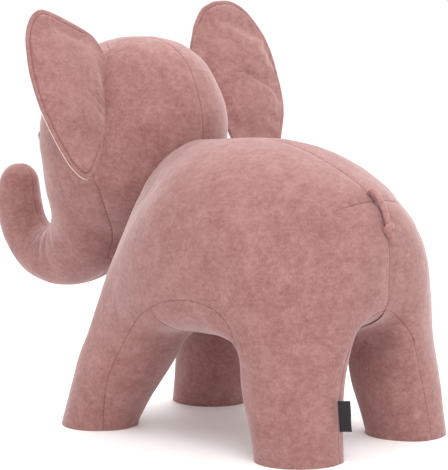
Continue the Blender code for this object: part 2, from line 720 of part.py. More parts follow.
def ear_surface(name, puff, way, s):
    bm = bmesh.new()
    rings = []
    for scale, rise, _ in EAR_RINGS:
        ring = []
        for x, z in EAR:
            px = EAR_MID[0] + (x - EAR_MID[0]) * scale
            pz = EAR_MID[1] + (z - EAR_MID[1]) * scale
            ring.append(bm.verts.new((s * px, way * (EAR_RIM + puff * rise), pz)))
        rings.append(ring)
    mid = bm.verts.new((s * EAR_MID[0], way * (EAR_RIM + puff), EAR_MID[1]))
    count = len(EAR)
    for a, b in zip(rings, rings[1:]):
        for n in range(count):
            m = (n + 1) % count
            bm.faces.new((a[n], a[m], b[m], b[n]))
    for n in range(count):
        bm.faces.new((rings[-1][n], rings[-1][(n + 1) % count], mid))
    bmesh.ops.recalc_face_normals(bm, faces=bm.faces)
    if sum(f.normal.y for f in bm.faces) * way < 0:
        bmesh.ops.reverse_faces(bm, faces=bm.faces)
    mesh = bpy.data.meshes.new(name)
    bm.to_mesh(mesh)
    bm.free()
    return mesh


def ear_pad(name, s):
    bm = bmesh.new()
    count = len(EAR)
    inner = EAR_T + 0.0005

    def ring(scale, y):
        return [bm.verts.new((s * (EAR_MID[0] + (x - EAR_MID[0]) * scale), y,
                              EAR_MID[1] + (z - EAR_MID[1]) * scale)) for x, z in EAR]

    rim = ring(0.85, 0.0)
    for puff, way in ((PUFF_BACK, 1), (PUFF_FRONT, -1)):
        last = rim
        for scale, rise, _ in EAR_RINGS[3:]:
            nxt = ring(scale, way * (EAR_RIM + puff * rise - inner))
            for n in range(count):
                m = (n + 1) % count
                bm.faces.new((last[n], last[m], nxt[m], nxt[n]))
            last = nxt
        mid = bm.verts.new((s * EAR_MID[0], way * (EAR_RIM + puff - inner), EAR_MID[1]))
        for n in range(count):
            bm.faces.new((last[n], last[(n + 1) % count], mid))
    return mesh_of(name, bm)


for side, s in (("left", 1), ("right", -1)):
    root = at_feet(s * EAR_ROOT[0], EAR_ROOT[1], EAR_ROOT[2])
    up = Vector((s * EAR_UP[0], EAR_UP[1], EAR_UP[2])).normalized()
    out = Vector((s * EAR_OUT[0], EAR_OUT[1], EAR_OUT[2])).normalized()
    rot = frame_of(out * s, up)
    root += out * 0.0030
    for label, puff, way, kind in (("ear_back_", PUFF_BACK, 1, "suede"),
                                   ("ear_front_", PUFF_FRONT, -1, "cream")):
        piece = add(label + side, ear_surface(label + side, puff, way, s), kind)
        solidify(piece, EAR_T)
        place(piece, root, rot)
    place(add("ear_pad_" + side, ear_pad("ear_pad_" + side, s), "foam"), root, rot)

# Tail --------------------------------------------------------------------
bm = bmesh.new()
bm.from_mesh(body)
skin = BVHTree.FromBMesh(bm)
bm.free()


def rump_y(z):
    hit = skin.ray_cast(Vector((0.0004, FEET_Y + 0.4, z)), Vector((0, -1, 0)))
    return hit[0].y


root = at_feet(*TAIL_ROOT)
clear = TAIL_R + 0.0014
seat_hit = skin.ray_cast(root + Vector((0.0004, 0.03, 0.03)), Vector((0, -1, -1)).normalized())
path = [seat_hit[0] + seat_hit[1] * 0.0022]
path.append(path[0] + seat_hit[1] * 0.0120 + Vector((0.001, 0.002, 0)))
for x, z, off in ((0.006, 0.345, 0.0085), (0.011, 0.332, 0.0020), (0.0145, 0.320, 0.0),
                  (0.0170, 0.308, 0.0)):
    path.append(Vector((x, rump_y(z) + clear + off, z)))
curve = bpy.data.curves.new("tail_cord", "CURVE")
curve.dimensions = "3D"
curve.bevel_depth = TAIL_R
curve.bevel_resolution = 2
curve.resolution_u = 3
curve.use_fill_caps = True
spline = curve.splines.new("BEZIER")
spline.bezier_points.add(len(path) - 1)
for point, p in zip(spline.bezier_points, path):
    point.co = p - path[0]
    point.handle_left_type = point.handle_right_type = "AUTO"
spline.bezier_points[0].radius = 0.34            # pinched flat where it is sewn in
blank = bpy.data.objects.new("tail_curve", curve)
tools.objects.link(blank)
bm = bmesh.new()
bm.from_mesh(evaluated(blank, "tail"))
bpy.data.objects.remove(blank)
bmesh.ops.remove_doubles(bm, verts=bm.verts, dist=0.00001)
tail = add("tail_cord", mesh_of("tail_cord", bm), "suede")
tail.location = path[0]

end_dir = (path[-1] - path[-2]).normalized()
knot = turned("tail_knot", [
    (0, 0), (0.0042, 0), (0.0068, 0.0020), (0.0082, 0.0050), (0.0078, 0.0080), (0.0062, 0.0098),
    (0.0072, 0.0120), (0.0068, 0.0150), (0.0044, 0.0170), (0.0036, 0.0200), (0.0030, 0.0215),
    (0, 0.0215)], "suede", 12)
place(knot, path[-1] + end_dir * 0.0012 + Vector((0, 0.0028, 0)), frame_of((1, 0, 0), end_dir))

# Zip ---------------------------------------------------------------------
for side, s in (("left", 1), ("right", -1)):
    tape = add("zip_tape_" + side, box("zip_tape", 0.0095, ZIP_LEN, 0.0008), "tape", smooth=False)
    place(tape, zip_mid + Vector((s * 0.0081, 0, 0)) - zip_out * 0.0042, zip_rot)

TEETH = 11
bm = bmesh.new()
rows = []
pitch = ZIP_LEN / TEETH
for n in range(TEETH):
    y0 = -ZIP_LEN / 2 + n * pitch
    for y, w in ((y0, 0.0020), (y0 + pitch * 0.45, 0.0020), (y0 + pitch * 0.5, 0.0028),
                 (y0 + pitch * 0.95, 0.0028)):
        rows.append((y, w))
rows.append((ZIP_LEN / 2, 0.0020))
ends = []
for y, w in rows:
    ends.append([bm.verts.new((x, y, z)) for x, z in ((-w, -0.0008), (w, -0.0008), (w, 0.0008),
                                                      (-w, 0.0008))])
for a, b in zip(ends, ends[1:]):
    for n in range(4):
        m = (n + 1) % 4
        bm.faces.new((a[n], a[m], b[m], b[n]))
bm.faces.new(ends[0])
bm.faces.new(ends[-1])
chain = add("zip_chain", mesh_of("zip_chain", bm), "nylon", smooth=False)
place(chain, zip_mid - zip_out * 0.0037, zip_rot)

slider_at = zip_start + zip_run * 0.0560 - zip_out * 0.0015
slider = add("zip_slider", box("zip_slider", 0.0064, 0.0110, 0.0020), "steel", smooth=False)
place(slider, slider_at, zip_rot)
bridge_mesh = box("bridge", 0.0020, 0.0076, 0.0038)
bridge = cutter("bridge", bridge_mesh, slider_at + zip_out * 0.0024, zip_rot)
window = cutter("bridge_window", box("bridge_window", 0.0060, 0.0054, 0.0020),
                slider_at + zip_out * 0.0021, zip_rot)
cut(slider, bridge, "UNION")
cut(slider, window)

tab_at = slider_at + zip_out * 0.0021
tab_mesh = box("zip_pull", 0.0060, 0.0130, 0.0010)
tab_mesh.transform(Matrix.Translation((0, -0.0060, 0)))
hang = frame_of((-1, 0, 0), (0, 1, 0))           # the tab hangs straight down
tab = add("zip_pull", tab_mesh, "steel", smooth=False)
place(tab, tab_at, hang)
tab_hole = box("tab_hole", 0.0032, 0.0060, 0.0040)
tab_hole.transform(Matrix.Translation((0, -0.0035, 0)))
cut(tab, cutter("tab_hole", tab_hole, tab_at, hang))

# Label: a short woven strip caught in the seam of the rear left leg.
ang = math.radians(LEG_ANGLES[(2, 0)])
ray = Vector((math.cos(ang), -math.sin(ang), 0))
ends = []
for z in (0.040, 0.078):
    axis_at = at_feet(TRACK / 2 - 0.004, WHEELBASE / 2 - 0.010, z)
    ends.append(skin.ray_cast(axis_at, ray)[0])
mid = (ends[0] + ends[1]) / 2 + ray * (LABEL[1] / 2 + 0.0018)
label_obj = add("label", box("label", LABEL[0], LABEL[1], LABEL[2]), "label", smooth=False)
place(label_obj, mid, frame_of(Vector((-ray.y, ray.x, 0)), ends[1] - ends[0]))
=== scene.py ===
"""Looks of the elephant footstool: micro-suede cover with sewn seams, puffed
ears, knotted tail, zip placket and felt soles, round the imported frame."""
import json
import math

import bmesh
import bpy
import numpy as np
from mathutils import Matrix, Vector, noise
from mathutils.bvhtree import BVHTree
from mathutils.kdtree import KDTree


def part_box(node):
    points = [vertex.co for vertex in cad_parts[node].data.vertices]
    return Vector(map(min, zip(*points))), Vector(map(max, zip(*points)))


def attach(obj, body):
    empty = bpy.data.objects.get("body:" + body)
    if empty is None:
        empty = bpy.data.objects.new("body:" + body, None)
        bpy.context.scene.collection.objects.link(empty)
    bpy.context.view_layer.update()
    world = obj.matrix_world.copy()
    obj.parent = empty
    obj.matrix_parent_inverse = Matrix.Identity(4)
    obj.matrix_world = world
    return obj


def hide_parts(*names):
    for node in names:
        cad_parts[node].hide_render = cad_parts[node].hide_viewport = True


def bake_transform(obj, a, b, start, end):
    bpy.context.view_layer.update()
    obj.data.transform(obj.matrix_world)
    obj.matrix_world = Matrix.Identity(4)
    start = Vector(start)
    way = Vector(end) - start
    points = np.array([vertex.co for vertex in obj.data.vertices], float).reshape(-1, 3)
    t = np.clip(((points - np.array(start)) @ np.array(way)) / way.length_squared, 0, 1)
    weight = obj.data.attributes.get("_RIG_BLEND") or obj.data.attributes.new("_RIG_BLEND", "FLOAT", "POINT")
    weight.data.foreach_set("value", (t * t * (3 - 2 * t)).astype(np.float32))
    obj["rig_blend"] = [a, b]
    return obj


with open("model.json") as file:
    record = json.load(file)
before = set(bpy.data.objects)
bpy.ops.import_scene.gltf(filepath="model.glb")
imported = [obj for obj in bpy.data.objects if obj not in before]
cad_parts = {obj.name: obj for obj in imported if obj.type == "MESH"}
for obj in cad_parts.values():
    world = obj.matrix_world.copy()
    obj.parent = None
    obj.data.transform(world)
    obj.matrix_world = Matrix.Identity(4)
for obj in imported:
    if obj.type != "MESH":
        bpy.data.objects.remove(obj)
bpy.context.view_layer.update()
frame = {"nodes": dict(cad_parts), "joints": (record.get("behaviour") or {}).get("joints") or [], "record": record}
nodes = frame["nodes"]
joints = {j["name"]: j for j in frame["joints"]}
scene = bpy.context.scene
MM = 0.001

# ---------------------------------------------------------------- camera --
CAMERA_AT = (2.1915, 2.0276, 0.5958)
CAMERA_AZ, CAMERA_EL = 131.626, 6.255
LENS = 157.38


def add_camera():
    a, e = math.radians(CAMERA_AZ), math.radians(CAMERA_EL)
    back = Vector((math.sin(a) * math.cos(e), -math.cos(a) * math.cos(e), math.sin(e)))
    cam = bpy.data.objects.new("camera", bpy.data.cameras.new("camera"))
    cam.data.lens = LENS
    cam.location = CAMERA_AT
    cam.rotation_euler = back.to_track_quat("Z", "Y").to_euler()
    scene.collection.objects.link(cam)
    scene.camera = cam


def area_light(name, loc, target, size, power, colour=(1, 1, 1)):
    light = bpy.data.lights.new(name, "AREA")
    light.shape = "RECTANGLE"
    light.size, light.size_y = size
    light.energy = power
    light.color = colour
    obj = bpy.data.objects.new(name, light)
    obj.location = loc
    obj.rotation_euler = (Vector(loc) - Vector(target)).to_track_quat("Z", "Y").to_euler()
    scene.collection.objects.link(obj)


def add_studio():
    world = bpy.data.worlds.new("studio")
    world.use_nodes = True
    shade = world.node_tree.nodes["Background"]
    tune(shade, Color=(1, 1, 1, 1), Strength=1.0)
    scene.world = world
    scene.view_settings.view_transform = "Standard"
    area_light("key", (1.1, 1.5, 2.8), (0, 0, 0.3), (1.6, 1.6), 50, (1.0, 0.985, 0.97))
    area_light("back", (-1.2, -0.6, 2.4), (0, 0, 0.35), (2.0, 1.4), 42)
    bm = bmesh.new()
    bmesh.ops.create_grid(bm, x_segments=2, y_segments=2, size=40)
    pale, _, shader = new_material("floor")
    tune(shader, Base_Color=(0.93, 0.93, 0.93, 1), Roughness=0.6, Emission_Color=(1, 1, 1, 1),
         Emission_Strength=0.10)
    add("studio_floor", mesh_from("studio_floor", bm), pale)


# --------------------------------------------------------------- helpers --
def mesh_from(name, bm):
    mesh = bpy.data.meshes.new(name)
    bm.to_mesh(mesh)
    bm.free()
    return mesh


def add(name, mesh, mat=None, smooth=True):
    obj = bpy.data.objects.new(name, mesh)
    scene.collection.objects.link(obj)
    if mat:
        mesh.materials.clear()
        mesh.materials.append(mat)
        for f in mesh.polygons:
            f.material_index = 0
    if smooth:
        mesh.polygons.foreach_set("use_smooth", [True] * len(mesh.polygons))
    return obj


def evaluated(obj):
    deps = bpy.context.evaluated_depsgraph_get()
    deps.update()
    return bpy.data.meshes.new_from_object(obj.evaluated_get(deps), depsgraph=deps)


def applied(obj):
    """The object with its modifiers made part of its mesh."""
    obj.data = evaluated(obj)
    obj.modifiers.clear()
    return obj


def gauss(x):
    return math.exp(-x * x)


def smoothstep(x, low, high):
    t = min(max((x - low) / (high - low), 0.0), 1.0)
    return t * t * (3 - 2 * t)


def frame_of(x_axis, z_axis):
    z = Vector(z_axis).normalized()
    x = Vector(x_axis)
    x = (x - z * x.dot(z)).normalized()
    return Matrix((x, z.cross(x), z)).transposed()


def curve_point(a, b, c, d, t):
    """On the smooth curve through four points, from b at t = 0 to c at t = 1."""
    return 0.5 * ((2 * b) + (c - a) * t + (2 * a - 5 * b + 4 * c - d) * t * t
                  + (3 * b - a - 3 * c + d) * t ** 3)


def tree_of(points):
    tree = KDTree(len(points))
    for n, p in enumerate(points):
        tree.insert(p, n)
    tree.balance()
    return tree


def verts_in(made):
    return [g for g in made if isinstance(g, bmesh.types.BMVert)]


def edges_in(made):
    return [g for g in made if isinstance(g, bmesh.types.BMEdge)]


def faces_in(made):
    return [g for g in made if isinstance(g, bmesh.types.BMFace)]


def lengthen(bm, rim):
    """Extrude a free rim; each new face is on the panel that it continues."""
    old = set(bm.faces)
    made = bmesh.ops.extrude_edge_only(bm, edges=rim)["geom"]
    for f in faces_in(made):
        above = [g for e in f.edges for g in e.link_faces if g in old]
        f.material_index = above[0].material_index
    return made


def join_rings(bm, rings):
    """Faces from each ring of vertices to the next; a ring of one is a point."""
    count = max(len(ring) for ring in rings)
    faces = []
    for a, b in zip(rings, rings[1:]):
        for n in range(count):
            m = (n + 1) % count
            corners = (a[n % len(a)], a[m % len(a)], b[m % len(b)], b[n % len(b)])
            faces.append(bm.faces.new(list(dict.fromkeys(corners))))
    return faces


# ------------------------------------------------------------- materials --
def new_material(name):
    mat = bpy.data.materials.new(name)
    mat.use_nodes = True
    tree = mat.node_tree
    return mat, tree, tree.nodes["Principled BSDF"]


def tune(shader, **values):
    """Set the shader's own sockets; _ stands for a space in their names."""
    for key, value in values.items():
        shader.inputs[key.replace("_", " ")].default_value = value


def node(tree, kind, links=(), **values):
    n = tree.nodes.new(kind)
    for key, value in values.items():
        if hasattr(n, key):
            setattr(n, key, value)
        else:
            n.inputs[key.replace("_", " ")].default_value = value
    for socket, source in links:
        tree.links.new(source, n.inputs[socket])
    return n


def object_coords(tree):
    return node(tree, "ShaderNodeTexCoord").outputs["Object"]


def noise_node(tree, coords, scale, detail=3.0, rough=0.55, stretch=None):
    if stretch:
        mapping = node(tree, "ShaderNodeMapping", [("Vector", coords)], Scale=stretch)
        coords = mapping.outputs["Vector"]
    return node(tree, "ShaderNodeTexNoise", [("Vector", coords)], Scale=scale, Detail=detail,
                Roughness=rough).outputs["Fac"]


def maths(tree, operation, a, b):
    n = node(tree, "ShaderNodeMath", operation=operation)
    for socket, value in zip(n.inputs, (a, b)):
        if hasattr(value, "links"):
            tree.links.new(value, socket)
        else:
            socket.default_value = value
    return n.outputs[0]


def ramp(tree, source, stops):
    n = node(tree, "ShaderNodeValToRGB", [("Fac", source)])
    while len(n.color_ramp.elements) < len(stops):
        n.color_ramp.elements.new(0.5)
    for element, (at, colour) in zip(n.color_ramp.elements, stops):
        element.position = at
        element.color = (*colour, 1)
    return n.outputs["Color"]


def mix(tree, kind, fac, a, b):
    n = tree.nodes.new("ShaderNodeMix")
    n.data_type = "RGBA"
    n.blend_type = kind
    for socket, value in (("Factor", fac), ("A", a), ("B", b)):
        ins = [i for i in n.inputs if i.name == socket and i.enabled]
        if hasattr(value, "links"):
            tree.links.new(value, ins[0])
        else:
            ins[0].default_value = (*value, 1) if isinstance(value, tuple) else value
    return [o for o in n.outputs if o.enabled][0]


def bump(tree, shader, layers):
    """Stack bumps: (height, strength, distance in metres)."""
    normal = None
    for height, strength, distance in layers:
        b = node(tree, "ShaderNodeBump", [("Height", height)], Strength=strength, Distance=distance)
        if normal:
            tree.links.new(normal, b.inputs["Normal"])
        normal = b.outputs["Normal"]
    tree.links.new(normal, shader.inputs["Normal"])


FINE_SHARE = 0.8         # how much the finest marks count, next to the two broader ones
# Painted shade: the suede's colour is multiplied down to this tint along the seam furrows and the ears'
# topstitching.
SEAM_SHADE_TINT = (0.66, 0.57, 0.56)


def nap_fabric(name, dark, mid, light, sheen, tint, mottle=1.0):
    """Brushed micro-suede: soft marks where the nap lies over, fine fibres."""
    mat, tree, shader = new_material(name)
    coords = object_coords(tree)
    broad = noise_node(tree, coords, 34, 6, 0.68)
    brushed = noise_node(tree, coords, 150, 4, 0.65, (0.7, 0.85, 1.15))
    fine = noise_node(tree, coords, 420, 3, 0.7, (1.0, 1.0, 0.7))
    fibre = noise_node(tree, coords, 1900, 2, 0.6)
    marks = maths(tree, "ADD", maths(tree, "ADD", broad, brushed),
                  maths(tree, "MULTIPLY", fine, FINE_SHARE))
    whole = 2 + FINE_SHARE
    span = 0.33 / mottle / whole
    stops = ((0.5 - span, dark), (0.5, mid), (0.5 + span, light))
    colour = ramp(tree, maths(tree, "DIVIDE", marks, whole), stops)
    # Painted shade: the colour is darkened where the per-point seam weight marks a furrow.
    seam = node(tree, "ShaderNodeAttribute", attribute_name="seam").outputs["Fac"]
    colour = mix(tree, "MULTIPLY", seam, colour, SEAM_SHADE_TINT)
    tree.links.new(colour, shader.inputs["Base Color"])
    tune(shader, Roughness=0.93, Specular_IOR_Level=0.2, Sheen_Weight=sheen,
         Sheen_Roughness=0.42, Sheen_Tint=(*tint, 1))
    bump(tree, shader, ((brushed, 0.20, 0.0010), (fine, 0.25, 0.0005), (fibre, 0.20, 0.0002)))
    return mat


def grain_wood(name, dark, light, layered=False):
    mat, tree, shader = new_material(name)
    coords = object_coords(tree)
    stretch = (1, 1, 12) if layered else (9, 1.2, 9)
    grain = noise_node(tree, coords, 30, 5, 0.6, stretch)
    pores = noise_node(tree, coords, 420, 2, 0.5, (1, 0.08, 1))
    colour = mix(tree, "MULTIPLY", 0.25, ramp(tree, grain, ((0.3, dark), (0.7, light))),
                 ramp(tree, pores, ((0.35, (0.5, 0.4, 0.3)), (0.6, (1, 1, 1)))))
    tree.links.new(colour, shader.inputs["Base Color"])
    tune(shader, Roughness=0.6)
    bump(tree, shader, ((pores, 0.2, 0.0003),))
    return mat


def cell_foam(name, colour):
    mat, tree, shader = new_material(name)
    coords = object_coords(tree)
    cells = node(tree, "ShaderNodeTexVoronoi", [("Vector", coords)], Scale=700).outputs["Distance"]
    dark = tuple(c * 0.78 for c in colour)
    tree.links.new(ramp(tree, cells, ((0.1, dark), (0.5, colour))), shader.inputs["Base Color"])
    tune(shader, Roughness=0.95)
    bump(tree, shader, ((cells, 0.5, 0.0005),))
    return mat


def woven(name, dark, light, pitch=0.0006, sheen=0.2):
    """A close weave from two crossed wave patterns."""
    mat, tree, shader = new_material(name)
    coords = object_coords(tree)
    threads = []
    for direction in ("X", "Z"):
        wave = node(tree, "ShaderNodeTexWave", [("Vector", coords)], bands_direction=direction)
        tune(wave, Scale=1 / (pitch * 2 * math.pi) * 0.32, Distortion=0.6)
        threads.append(wave.outputs["Fac"])
    both = maths(tree, "MULTIPLY", *threads)
    tree.links.new(ramp(tree, both, ((0.0, dark), (0.6, light))), shader.inputs["Base Color"])
    tune(shader, Roughness=0.85, Sheen_Weight=sheen)
    bump(tree, shader, ((both, 0.4, pitch * 0.4),))
    return mat


def worn_metal(name, colour, rough):
    mat, tree, shader = new_material(name)
    coords = object_coords(tree)
    marks = noise_node(tree, coords, 600, 4, 0.7, (1, 6, 1))
    tree.links.new(ramp(tree, marks, ((0.3, tuple(c * 0.8 for c in colour)), (0.7, colour))),
                   shader.inputs["Base Color"])
    tune(shader, Metallic=1.0)
    tree.links.new(node(tree, "ShaderNodeMapRange", [("Value", marks)], To_Min=rough - 0.08,
                        To_Max=rough + 0.12).outputs["Result"], shader.inputs["Roughness"])
    return mat


def gloss_bead(name):
    mat, tree, shader = new_material(name)
    coords = object_coords(tree)
    haze = noise_node(tree, coords, 300, 3)
    tree.links.new(ramp(tree, haze, ((0.3, (0.006, 0.006, 0.007)), (0.8, (0.014, 0.013, 0.014)))),
                   shader.inputs["Base Color"])
    tune(shader, Roughness=0.12, Coat_Weight=0.6, Coat_Roughness=0.06)
    return mat


SUEDE = nap_fabric("suede", (0.236, 0.102, 0.094), (0.302, 0.146, 0.136), (0.372, 0.200, 0.187),
                   0.50, (1.0, 0.88, 0.87))
# Painted light: the tail is the same suede, given a lighter copy of its colours to stand for the light falling on
# it.
LIT_TAIL_SUEDE = nap_fabric("tail_suede_painted_light", (0.300, 0.137, 0.127), (0.372, 0.184, 0.172),
                        (0.440, 0.242, 0.227), 0.50, (1.0, 0.88, 0.87))
CREAM = nap_fabric("cream", (0.66, 0.57, 0.48), (0.80, 0.72, 0.62), (0.88, 0.81, 0.73),
                   0.35, (1.0, 0.97, 0.93), 0.8)
FELT = nap_fabric("black_felt", (0.010, 0.010, 0.010), (0.018, 0.018, 0.018),
                  (0.030, 0.030, 0.030), 0.15, (1, 1, 1))
STAYING = {
    "foam": cell_foam("foam", (0.86, 0.80, 0.62)),
    "fibre": cell_foam("fibre", (0.9, 0.9, 0.88)),
    "plywood": grain_wood("plywood", (0.46, 0.30, 0.17), (0.68, 0.49, 0.30), True),
    "beech": grain_wood("beech", (0.58, 0.38, 0.23), (0.76, 0.56, 0.37)),
    "steel": worn_metal("steel", (0.60, 0.61, 0.63), 0.32),
    "black_felt": FELT,
    "tape": woven("tape", (0.20, 0.09, 0.085), (0.38, 0.18, 0.17), 0.0007),
    "nylon": woven("nylon", (0.20, 0.09, 0.09), (0.32, 0.15, 0.14), 0.0012, 0.0),
    "eye": gloss_bead("eye"),
    "label": woven("label", (0.012, 0.012, 0.013), (0.020, 0.020, 0.022), 0.0002, 0.1),
}


def finish_cad_nodes():
    """Every CAD node that stays gets its slot's procedural material."""
    for part in frame["record"]["subparts"]:
        mat = STAYING.get(part["material_slot"])
        mesh = nodes[part["node"]].data
        if mat:
            mesh.materials.clear()
            mesh.materials.append(mat)


# ------------------------------------------------------------ body cover --
LEVELS, CUTS = ((4, 2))     # rounding; cuts beside the seams
FEET_Y = 0.1325          # middle of the four feet
WHEELBASE, TRACK = 0.372, 0.242
FOOT_R_REAR, FOOT_R_FRONT = 0.0575, 0.0555
TOP_OF_SOLE = 0.0039
NECK_C, NECK_N = (-0.1395, 0.3460), (-0.81, 0.586)
NECK_R = (0.0750, 0.0800)
RUMP = {                 # (column, row) on the rump: x, y, z
    (0, 0): (0.000, 0.248, 0.187), (1, 0): (0.050, 0.244, 0.177), (2, 0): (0.104, 0.234, 0.146),
    (3, 0): (0.158, 0.208, 0.140),
    (0, 1): (0.000, 0.240, 0.240), (1, 1): (0.056, 0.250, 0.238), (2, 1): (0.114, 0.238, 0.226),
    (3, 1): (0.162, 0.192, 0.218),
    (0, 2): (0.000, 0.250, 0.292), (1, 2): (0.054, 0.248, 0.294), (2, 2): (0.106, 0.230, 0.288),
    (3, 2): (0.150, 0.178, 0.280),
    (0, 3): (0.000, 0.223, 0.347), (1, 3): (0.046, 0.216, 0.344), (2, 3): (0.090, 0.194, 0.332),
    (3, 3): (0.122, 0.156, 0.320),
}
CHEST = {                # (column, row) on the chest
    (0, 0): (0.000, -0.190, 0.170), (1, 0): (0.050, -0.196, 0.160), (2, 0): (0.100, -0.208, 0.146),
    (3, 0): (0.142, -0.195, 0.150),
    (0, 1): (0.000, -0.196, 0.236), (1, 1): (0.050, -0.194, 0.238), (2, 1): (0.100, -0.178, 0.244),
    (3, 1): (0.142, -0.144, 0.238),
    (2, 2): (0.102, -0.134, 0.318), (3, 2): (0.126, -0.112, 0.304),
    (0, 3): (0.000, -0.086, 0.412), (1, 3): (0.042, -0.086, 0.409), (2, 3): (0.082, -0.088, 0.388),
    (3, 3): (0.110, -0.086, 0.352),
}
# Between them: y low down, y along the back, half width, underside, back,
# foot of the flank, height of the row above the legs
STATIONS = {
    1: (0.176, 0.168, 0.188, 0.160, 0.378, 0.150, 0.218),
    2: (0.120, 0.102, 0.200, 0.138, 0.407, 0.158, 0.206),
    3: (0.066, 0.046, 0.203, 0.140, 0.418, 0.174, 0.213),
    4: (0.010, 0.000, 0.201, 0.142, 0.419, 0.174, 0.208),
    5: (-0.050, -0.038, 0.192, 0.150, 0.417, 0.158, 0.196),
    6: (-0.118, -0.064, 0.166, 0.162, 0.413, 0.152, 0.215),
}
LEG_ANGLES = {           # ring vertex: degrees from outward toward the other leg
    (3, 1): 0, (3, 2): 47, (2, 2): 90, (1, 2): 135, (1, 1): 180, (1, 0): 225, (2, 0): 253,
    (3, 0): 305,
}
LEG_RINGS = ((0.100, 1.17, 0.66), (0.050, 1.08, 0.30), (TOP_OF_SOLE, 1.0, 0.0))
SIDE, BELLY, REAR_LEG, FRONT_LEG = 0, 2, 3, 5   # panel numbers (left; right is one more)
PANELS = ("side_panel_left", "side_panel_right", "belly_panel", "rear_leg_inner_left",
          "rear_leg_inner_right", "front_leg_inner_left", "front_leg_inner_right")


def station_point(i, j, k):
    """Cage vertex at column i (-3..3), station j (0 rump .. 7 chest), row k."""
    a = abs(i)
    if j in (0, 7):
        x, y, z = (RUMP if j == 0 else CHEST)[(a, k)]
    else:
        low, high, half, under, back, flank, arch = STATIONS[j]
        if k == 0:
            x, y = (0.0, 0.27, 0.60, 0.92)[a] * half, low
            z = under + (flank - under) * (0.0, 0.04, 0.3, 1.0)[a]
        elif k == 3:
            x, y, z = (0.0, 0.29, 0.56, 0.78)[a] * half, high, back - (0.0, 0.006, 0.027, 0.064)[a]
        elif k == 2:
            x, y, z = 0.965 * half, (low + high) / 2, 0.293
        else:
            x, y, z = half, low, arch
    return Vector((math.copysign(x, i) if i else 0.0, y, z))


def body_cage():
    """The body's coarse form, its faces told apart as outer ones and those beneath."""
    bm = bmesh.new()
    verts = {}

    def vert(key):
        if key not in verts:
            verts[key] = bm.verts.new(station_point(*key))
        return verts[key]

    def face(keys, panel):
        f = bm.faces.new([k if isinstance(k, bmesh.types.BMVert) else vert(k) for k in keys])
        f.material_index = panel

    for i in range(-3, 3):
        for j in range(7):
            face([(i, j, 3), (i + 1, j, 3), (i + 1, j + 1, 3), (i, j + 1, 3)], SIDE)
            if not (j in (0, 1, 5, 6) and i not in (-1, 0)):
                face([(i, j, 0), (i, j + 1, 0), (i + 1, j + 1, 0), (i + 1, j, 0)], BELLY)
        for k in range(3):
            face([(i, 0, k), (i + 1, 0, k), (i + 1, 0, k + 1), (i, 0, k + 1)], SIDE)
            if not (k > 0 and -2 <= i < 2):
                face([(i, 7, k), (i, 7, k + 1), (i + 1, 7, k + 1), (i + 1, 7, k)], SIDE)
    for s in (-1, 1):
        for j in range(7):
            for k in range(3):
                face([(3 * s, j, k), (3 * s, j + 1, k), (3 * s, j + 1, k + 1), (3 * s, j, k + 1)],
                     BELLY if k == 0 and 2 <= j <= 4 else SIDE)
        for rear in (True, False):
            leg_tube(bm, vert, face, s, rear)

    # The chest opening is drawn out to the neck seam.
    keys = [(2, 7, 2), (2, 7, 3), (1, 7, 3), (0, 7, 3), (-1, 7, 3), (-2, 7, 3), (-2, 7, 2),
            (-2, 7, 1), (-1, 7, 1), (0, 7, 1), (1, 7, 1), (2, 7, 1)]
    c, n = Vector((0, *NECK_C)), Vector((0, *NECK_N)).normalized()
    up = Vector((0, n.z, -n.y))
    ring = []
    for m in range(12):
        a = math.radians(30 * m)
        ring.append(bm.verts.new(c + Vector((NECK_R[0] / 0.955 * math.cos(a), 0, 0))
                                 + up * (NECK_R[1] / 0.955 * math.sin(a))))
    for m in range(12):
        p = (m + 1) % 12
        face([keys[m], keys[p], ring[p], ring[m]], SIDE)
    return bm


def leg_tube(bm, vert, face, s, rear):
    foot_r, end = (FOOT_R_REAR, 1) if rear else (FOOT_R_FRONT, -1)
    lean = (0.012, 0.030) if rear else (0.018, 0.058)
    base = 0 if rear else 7
    keys = list(LEG_ANGLES)
    ring = [vert((s * a, base + end * b, 0)) for a, b in keys]
    for z, swell, pull in LEG_RINGS:
        r = foot_r / 0.9024 * (swell if rear else 1 + (swell - 1) * 1.5)
        new = []
        for key in keys:
            a = math.radians(LEG_ANGLES[key])
            x = s * (TRACK / 2 + r * math.cos(a) - lean[0] * pull)
            y = end * (WHEELBASE / 2 - r * math.sin(a) - lean[1] * pull)
            if not rear and pull > 0.5 and math.sin(a) > 0.5:
                y += 0.014 * math.sin(a)
            new.append(bm.verts.new((x, y, z)))
        for n, key in enumerate(keys):
            m = (n + 1) % 8
            outer = {key, keys[m]} in ({(3, 1), (3, 2)}, {(3, 0), (3, 1)}, {(2, 0), (3, 0)})
            face([ring[n], ring[m], new[m], new[n]], SIDE if outer else BELLY)
        ring = new


def seam_ready(bm):
    """Room for each edge's seam mark and each point's nearness to a seam, which weights the painted shade along
    the seams.
    """
    bm.edges.layers.int.new("seam_mark")
    bm.verts.layers.float.new("seam")
    return bm


def smooth_form(bm, levels):
    """The cage subdivided, outward side out, moved to its place."""
    bmesh.ops.recalc_face_normals(bm, faces=bm.faces)
    centre = sum((v.co for v in bm.verts), Vector()) / len(bm.verts)
    if sum((f.calc_center_median() - centre).dot(f.normal) * f.calc_area() for f in bm.faces) < 0:
        bmesh.ops.reverse_faces(bm, faces=bm.faces)
    for v in bm.verts:
        v.co.y += FEET_Y
    mesh = mesh_from("form", bm)
    for _ in PANELS:
        mesh.materials.append(None)
    obj = add("form", mesh, smooth=False)
    mod = obj.modifiers.new("round", "SUBSURF")
    mod.levels = mod.render_levels = levels
    fine = evaluated(obj)
    bpy.data.objects.remove(obj)
    out = bmesh.new()
    out.from_mesh(fine)
    return seam_ready(out)


